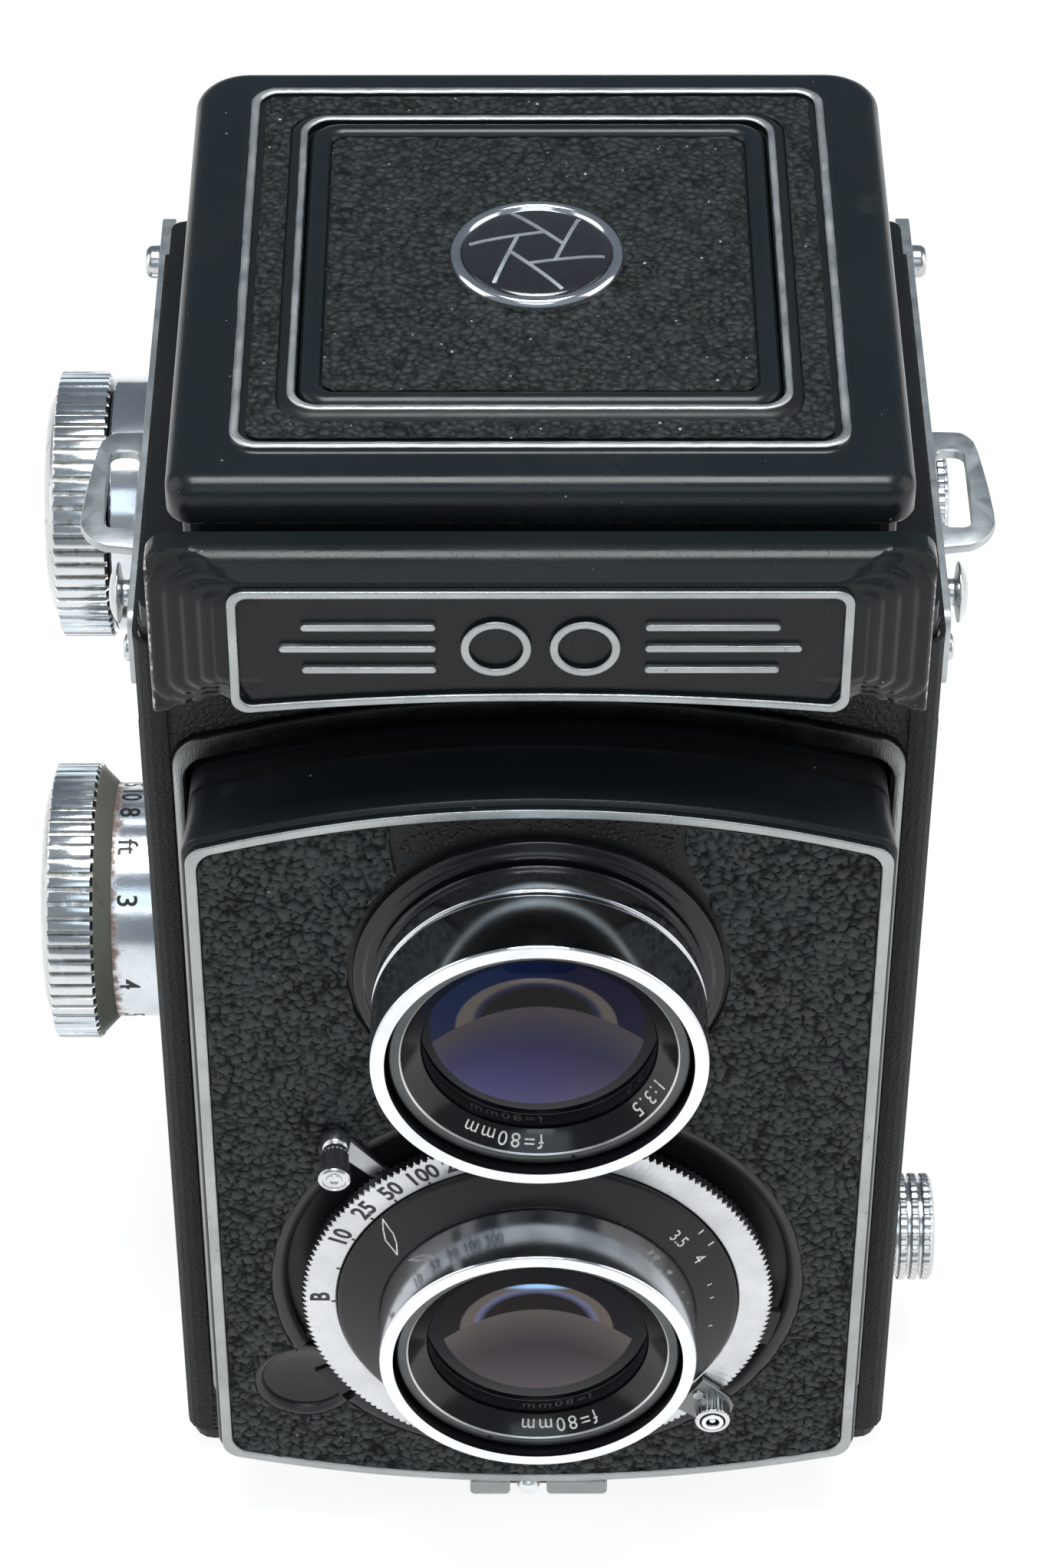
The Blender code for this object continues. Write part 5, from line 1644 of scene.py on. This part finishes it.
# y, z and [(radius, distance, fillet?)]: mushroom stud, rear stud, rear screw, front screw
STUDS = (
    (-25.2, 112.2, [(0, 38.5), (1.5, 38.5), (1.3, 39.0, 0.2), (1.3, 39.6, 0.2),
                    (2.9, 39.9, 0.1), (2.95, 40.05, 0.1), (1.9, 40.75, 0.7), (0.0, 40.95)]),
    (27.6, 112.3, [(0, 38.5), (1.9, 38.5), (1.75, 38.9, 0.1), (1.7, 39.9, 0.25),
                   (1.4, 40.3, 0.2), (0.0, 40.4)]),
    (28.0, 107.9, [(0, 38.5), (1.25, 38.5), (1.2, 38.95, 0.15), (0.9, 39.1, 0.1),
                   (0, 39.12)]),
    (-30.1, 109.6, [(0, 38.5), (1.35, 38.5), (1.3, 39.15, 0.15), (1.0, 39.35, 0.1),
                    (0, 39.4)]))


def even_angles(points, count=96):
    """points of a closed outline at equal angles about the loop centre"""
    cx, cy = LOOP_CENTRE
    out = []
    for k in range(count):
        dx, dy = cos(2 * pi * k / count), sin(2 * pi * k / count)
        hits = []
        for (x1, y1), (x2, y2) in pairs(points):
            ex, ey = x2 - x1, y2 - y1
            cross = dx * ey - dy * ex
            if abs(cross) < 1e-9:
                continue
            t = ((x1 - cx) * ey - (y1 - cy) * ex) / cross
            along = ((x1 - cx) * dy - (y1 - cy) * dx) / cross
            if t > 0 and -1e-6 <= along <= 1 + 1e-6:
                hits.append(t)
        out.append((cx + dx * max(hits), cy + dy * max(hits)))
    return out


def drawn_in(points, depth):
    """outline drawn towards the loop centre"""
    return [lerp(p, LOOP_CENTRE, depth / max(1.0, math.dist(p, LOOP_CENTRE)))
            for p in points]


def strap_plates():
    outer = even_angles(LOOP_OUTLINE)
    hole = even_angles(round_rect(39.3, 42.2, -14.6, -2.8, 1.0, 6))
    wide = drawn_in(hole, -0.2)
    shelf = ((outer, 110.75), (outer, 111.3), (drawn_in(outer, 0.12), 111.5),
             (drawn_in(outer, 0.35), 111.6), (wide, 111.6), (hole, 111.4), (hole, 110.6),
             (wide, 110.4), (drawn_in(outer, 0.3), 110.4))
    for node, side in (("strap_plate_left", -1), ("strap_plate_right", 1)):
        part = Piece()
        part.prism(round_rect(-32.2, 32.6, 106.0, 114.9, 1.5, 8), "X", side * 37.36,
                   side * 38.75, STRAP, 0.12)
        part.loft([[(side * x, y, z) for x, y in points] for points, z in shelf], STRAP,
                  closed=True)
        for y, z, profile in STUDS:
            part.lathe("X", (y, z), [(r, side * x, *fillet) for r, x, *fillet in profile],
                       CHROME_DIRTY, 48)
        part.finish(node + "_plate", "camera_body", node, 32)


# ===================================================================== knobs
def advance_collar():
    part = Piece()
    part.lathe("X", ADVANCE, [(13.5, -37.9), (13.5, -44.0, 0.1), (13.3, -44.25, 0.1),
                              (12.0, -44.3), (12.0, -44.0), (4.0, -44.0), (4.0, -37.9)],
               [CHROME] * 3 + [BLACK_MATTE], 160, closed=True)
    part.finish("advance_collar", "camera_body", "advance_escutcheon", 30)


def ribs(count, depth, radius):
    """flat-topped ribs; width is their share of the pitch"""
    width, crown = 0.62, 0.05

    def radial(r, height, angle):
        if r < radius - depth:
            return r
        x = abs(phase(angle, count) - 0.5) * 2.0    # 0 mid rib, 1 mid groove
        fall = max(0.0, min(1.0, (x - width) / 0.14))
        top = crown * (x / width) ** 2 if x < width else crown
        return min(r, radius - top - (depth - crown) * fall)
    return radial


def ribbed_knob(part, centre, inner, outer, middle, radius, count, depth, back_mat, rib_mat):
    """knob between two x places; middle is the x of its sunk centre"""
    profile = [
        (3.5, inner), (radius - 1.1, inner), (radius - 0.30, inner), (radius, inner - 0.28),
        (radius, outer + 0.34), (radius - 0.10, outer + 0.14), (radius - 0.34, outer),
        (radius - 1.15, outer), (radius - 1.35, outer + 0.1, 0.1),
        (radius - 1.6, outer + 0.1, 0.2), (radius - 2.3, outer - 0.55, 0.4),
        (radius - 3.4, middle + 0.06, 0.6), (0.0, middle)]
    part.lathe("X", centre, profile, [back_mat] * 2 + [rib_mat] * 5 + [CHROME_DIRTY],
               count * 20, radial=ribs(count, depth, radius))


def advance_knob():
    part = Piece()
    ribbed_knob(part, ADVANCE, inner=-44.45, outer=-50.0, middle=-51.2, radius=ADVANCE_R,
                count=58, depth=0.46, back_mat=CHROME, rib_mat=RIB_ADVANCE)
    part.lathe("X", ADVANCE, [(0, -44.6), (3.3, -44.6), (3.3, -33.0), (1.6, -33.0),
                              (1.6, -31.8), (0, -31.8)], STEEL, 48)
    part.finish("advance_knob_ribbed", "advance_drive", "advance_knob", 30)


def drum_text(part, body, degrees):
    """numbers lie on their side: along runs round the drum, up towards the body"""
    def position(along, up, out):
        a = radians(degrees) + along / DRUM_R
        r = DRUM_R + out
        return (-43.45 + up, FOCUS[0] + r * cos(a), FOCUS[1] + r * sin(a))

    part.text(body, 3.0, position, BLACK_INK, weight=0.012)


def focus_knob():
    """knob, tarnished bevel and numbered drum"""
    part = Piece()
    ribbed_knob(part, FOCUS, inner=-45.85, outer=-50.6, middle=-51.6, radius=FOCUS_R,
                count=60, depth=0.48, back_mat=BEVEL, rib_mat=RIB_FOCUS)
    part.lathe("X", FOCUS, [(12.3, -38.35), (DRUM_R, -38.45), (DRUM_R, -44.15, 0.05),
                            (12.55, -44.2, 0.1), (14.15, -45.75, 0.1), (14.2, -45.86, 0.03),
                            (3.3, -45.9), (3.3, -38.35)],
               [DRUM] * 2 + [BEVEL] * 3 + [BLACK_MATTE], 192, closed=True)
    for body, degrees in (("60", 18.0), ("30", 38.0), ("15", 56.0), ("10", 73.0),
                          ("8", 89.0), ("ft", 110.0), ("3", 137.0), ("4", 182.0),
                          ("5", 216.0), ("6", 246.0), ("7", 274.0)):
        drum_text(part, body, degrees)
    part.finish("focus_knob_and_drum", "focus_drive", "focus_knob", 30)


def spool_knobs():
    """pull-out spool holders with four knurled rings each"""
    first, pitch = 38.3, 1.27
    profile = [(0, 29.5), (1.5, 29.5), (1.5, 32.6), (2.8, 32.6), (2.8, 38.2), (5.4, 38.2)]
    for k in range(4):
        x = first + k * pitch
        profile += [(5.85, x + 0.05, 0.15), (5.85, x + 0.85, 0.15)]
        if k < 3:
            profile += [(5.25, x + 0.98), (5.25, x + 1.22)]
    profile += [(5.2, 43.45, 0.3), (0, 43.6)]
    for node, centre in (("spool_knob_upper", ADVANCE), ("spool_knob_lower", SUPPLY)):
        part = Piece()
        part.lathe("X", centre, profile, KNURL, 240, radial=knurl(40, 0.16, 5.5))
        part.finish(node + "_ringed", node, node, 30)


for build in (lens_board_casting, board_trim, front_leather, board_front_plate, board_sleeve,
              well_rims, viewing_lens, taking_lens, shutter_face, well_floor, speed_ring,
              cocking_lever, lever_tabs, sync_socket, board_bracket, front_flange, nameplate,
              nameplate_trim, hood_lid, lid_ribs, lid_leather, finder_flap, flap_leather,
              hood_badge, strap_plates, advance_collar, advance_knob, focus_knob,
              spool_knobs):
    build()

# ===================================================================== unchanged CAD pieces
# node: material and width of the rounded edges
KEPT = {
    "body_shell": (SHELL, 0.30), "hood_base": (HOOD_BASE, 0.25),
    "mirror_box": (BLACK_MATTE, 0), "reflex_mirror": (MIRROR, 0),
    "ground_glass": (SCREEN, 0), "film_gate": (BLACK_MATTE, 0),
    "pressure_plate": (BLACK_SATIN, 0.2), "back_door": (DOOR, 0.25),
    "door_hinge_pin": (STEEL, 0), "focus_shaft": (STEEL, 0.2),
    "film_roller_lower": (STEEL, 0.2), "film_roller_upper": (STEEL, 0.2),
    "take_up_spool": (BLACK_SATIN, 0.2), "supply_spool": (BLACK_SATIN, 0.2),
    "shutter_case": (BLACK_MATTE, 0.2), "shutter_blades": (STEEL, 0),
    "diaphragm_blades": (BLACK_SATIN, 0), "viewing_rear_element": (GLASS, 0),
    "taking_rear_element": (GLASS, 0), "hood_panel_left": (BLACK, 0.1),
    "hood_panel_right": (BLACK, 0.1), "hood_panel_back": (BLACK, 0.1),
    "magnifier_frame": (BLACK, 0.2), "magnifier_lens": (GLASS, 0),
    "tripod_bush": (BUSH, 0.2), "door_latch": (LATCH, 0.2), "window_cover": (DOOR, 0.15),
    "body_leather_left": (SIDE_LEATHER, 0.15), "body_leather_right": (SIDE_LEATHER, 0.15),
    "back_leather": (BACK_LEATHER, 0.12),
}
for node_name, (mat, width) in KEPT.items():
    ob = NODES[node_name]
    ob.data.materials.clear()
    ob.data.materials.append(mat.material)
    if width:
        bevel = ob.modifiers.new("edge", "BEVEL")
        bevel.width = width * MM
        bevel.segments = 3
        bevel.limit_method = "ANGLE"
        bevel.angle_limit = radians(40)
        bevel.harden_normals = True


# ===================================================================== studio, in metres
scene = bpy.context.scene


def quad(name, half_x, half_y):
    mesh = bpy.data.meshes.new(name)
    mesh.from_pydata([(-half_x, -half_y, 0), (half_x, -half_y, 0), (half_x, half_y, 0),
                      (-half_x, half_y, 0)], [], [(0, 1, 2, 3)])
    ob = bpy.data.objects.new(name, mesh)
    scene.collection.objects.link(ob)
    return ob


def panel_light(name, centre, size, aim, strength, colour):
    """glowing panel that shines from its front only and is hidden from the camera"""
    ob = quad(name, size[0] / 2, size[1] / 2)
    ob.location = centre
    ob.rotation_euler = (Vector(aim) - Vector(centre)).to_track_quat("Z", "Y").to_euler()
    material = bpy.data.materials.new(name)
    material.use_nodes = True
    nodes, links = material.node_tree.nodes, material.node_tree.links
    nodes.clear()
    output = nodes.new("ShaderNodeOutputMaterial")
    emission = nodes.new("ShaderNodeEmission")
    geometry = nodes.new("ShaderNodeNewGeometry")
    power = nodes.new("ShaderNodeMath")
    power.operation = "MULTIPLY_ADD"
    power.inputs[1].default_value = -strength
    power.inputs[2].default_value = strength
    emission.inputs[0].default_value = (*colour, 1)
    links.new(geometry.outputs["Backfacing"], power.inputs[0])
    links.new(power.outputs[0], emission.inputs[1])
    links.new(emission.outputs[0], output.inputs[0])
    ob.data.materials.append(material)
    ob.visible_camera = False
    ob.visible_shadow = False


panel_light("light_top", centre=(0.0, -0.02, 0.95), size=(0.46, 0.46), aim=(0.0, -0.02, 0.0),
            strength=14.0, colour=(0.97, 0.99, 1.0))
panel_light("light_camera", centre=(0.0, -0.86, 0.86), size=(0.75, 0.42), aim=(0.0, 0.0, 0.1),
            strength=1.7, colour=(0.76, 0.90, 1.0))
panel_light("light_window", centre=(0.0, -1.05, 0.80), size=(0.36, 0.15),
            aim=(0.0, 0.0, 0.08), strength=9.0, colour=(0.98, 0.99, 1.0))
panel_light("light_left", centre=(-0.75, -0.05, 0.32), size=(0.62, 0.9), aim=(0.0, 0.0, 0.08),
            strength=1.9, colour=(0.97, 0.99, 1.0))
panel_light("light_right", centre=(0.75, -0.05, 0.32), size=(0.62, 0.9), aim=(0.0, 0.0, 0.08),
            strength=1.9, colour=(1.0, 0.99, 0.98))

floor = quad("floor", 3.0, 3.0)
floor.location.z = -0.00005
floor.data.materials.append(Mat(
    "floor_paper", (0.20, 0.20, 0.20), rough=0.9, spec=0.0, Emission_Color=(1.0, 1.0, 1.0),
    Emission_Strength=0.88).material)


def studio_world():
    """grey surroundings, lighter towards the front"""
    world = bpy.data.worlds.new("studio")
    scene.world = world
    world.use_nodes = True
    nodes, links = world.node_tree.nodes, world.node_tree.links
    nodes.clear()
    output = nodes.new("ShaderNodeOutputWorld")
    background = nodes.new("ShaderNodeBackground")
    coords = nodes.new("ShaderNodeTexCoord")
    split = nodes.new("ShaderNodeSeparateXYZ")
    remap = nodes.new("ShaderNodeMapRange")
    ramp = nodes.new("ShaderNodeValToRGB")
    remap.inputs["From Min"].default_value = -1.0
    remap.inputs["From Max"].default_value = 1.0
    front, back = ramp.color_ramp.elements
    front.position, front.color = 0.0, (0.31, 0.34, 0.37, 1)
    back.position, back.color = 1.0, (0.17, 0.20, 0.235, 1)
    background.inputs[1].default_value = 1.0
    links.new(coords.outputs["Generated"], split.inputs[0])
    links.new(split.outputs[1], remap.inputs["Value"])
    links.new(remap.outputs[0], ramp.inputs[0])
    links.new(ramp.outputs[0], background.inputs[0])
    links.new(background.outputs[0], output.inputs[0])


studio_world()
# a colour configuration without these names keeps its own view
try:
    scene.view_settings.view_transform = "Standard"
    scene.view_settings.look = "None"
except TypeError:
    pass


def studio_camera():
    """in front of the product, looking down at it"""
    data = bpy.data.cameras.new("camera")
    data.lens = 107.893
    data.sensor_width = 36.0
    data.sensor_fit = "AUTO"
    data.clip_start = 0.01
    camera = bpy.data.objects.new("camera", data)
    scene.collection.objects.link(camera)
    up = Vector((0.000895, 0.6770768, 0.73591182))
    forward = Vector((0.00236, 0.73590863, -0.67707674))
    up = (up - forward * up.dot(forward)).normalized()
    right = forward.cross(up).normalized()
    pose = Matrix.Identity(4)
    for i in range(3):
        pose[i][0], pose[i][1], pose[i][2] = right[i], up[i], -forward[i]
    pose.translation = Vector(((-2.71 + BUSH_X) * MM, (-367.13 + BUSH_Y) * MM, 401.98 * MM))
    camera.matrix_world = pose
    scene.camera = camera


studio_camera()
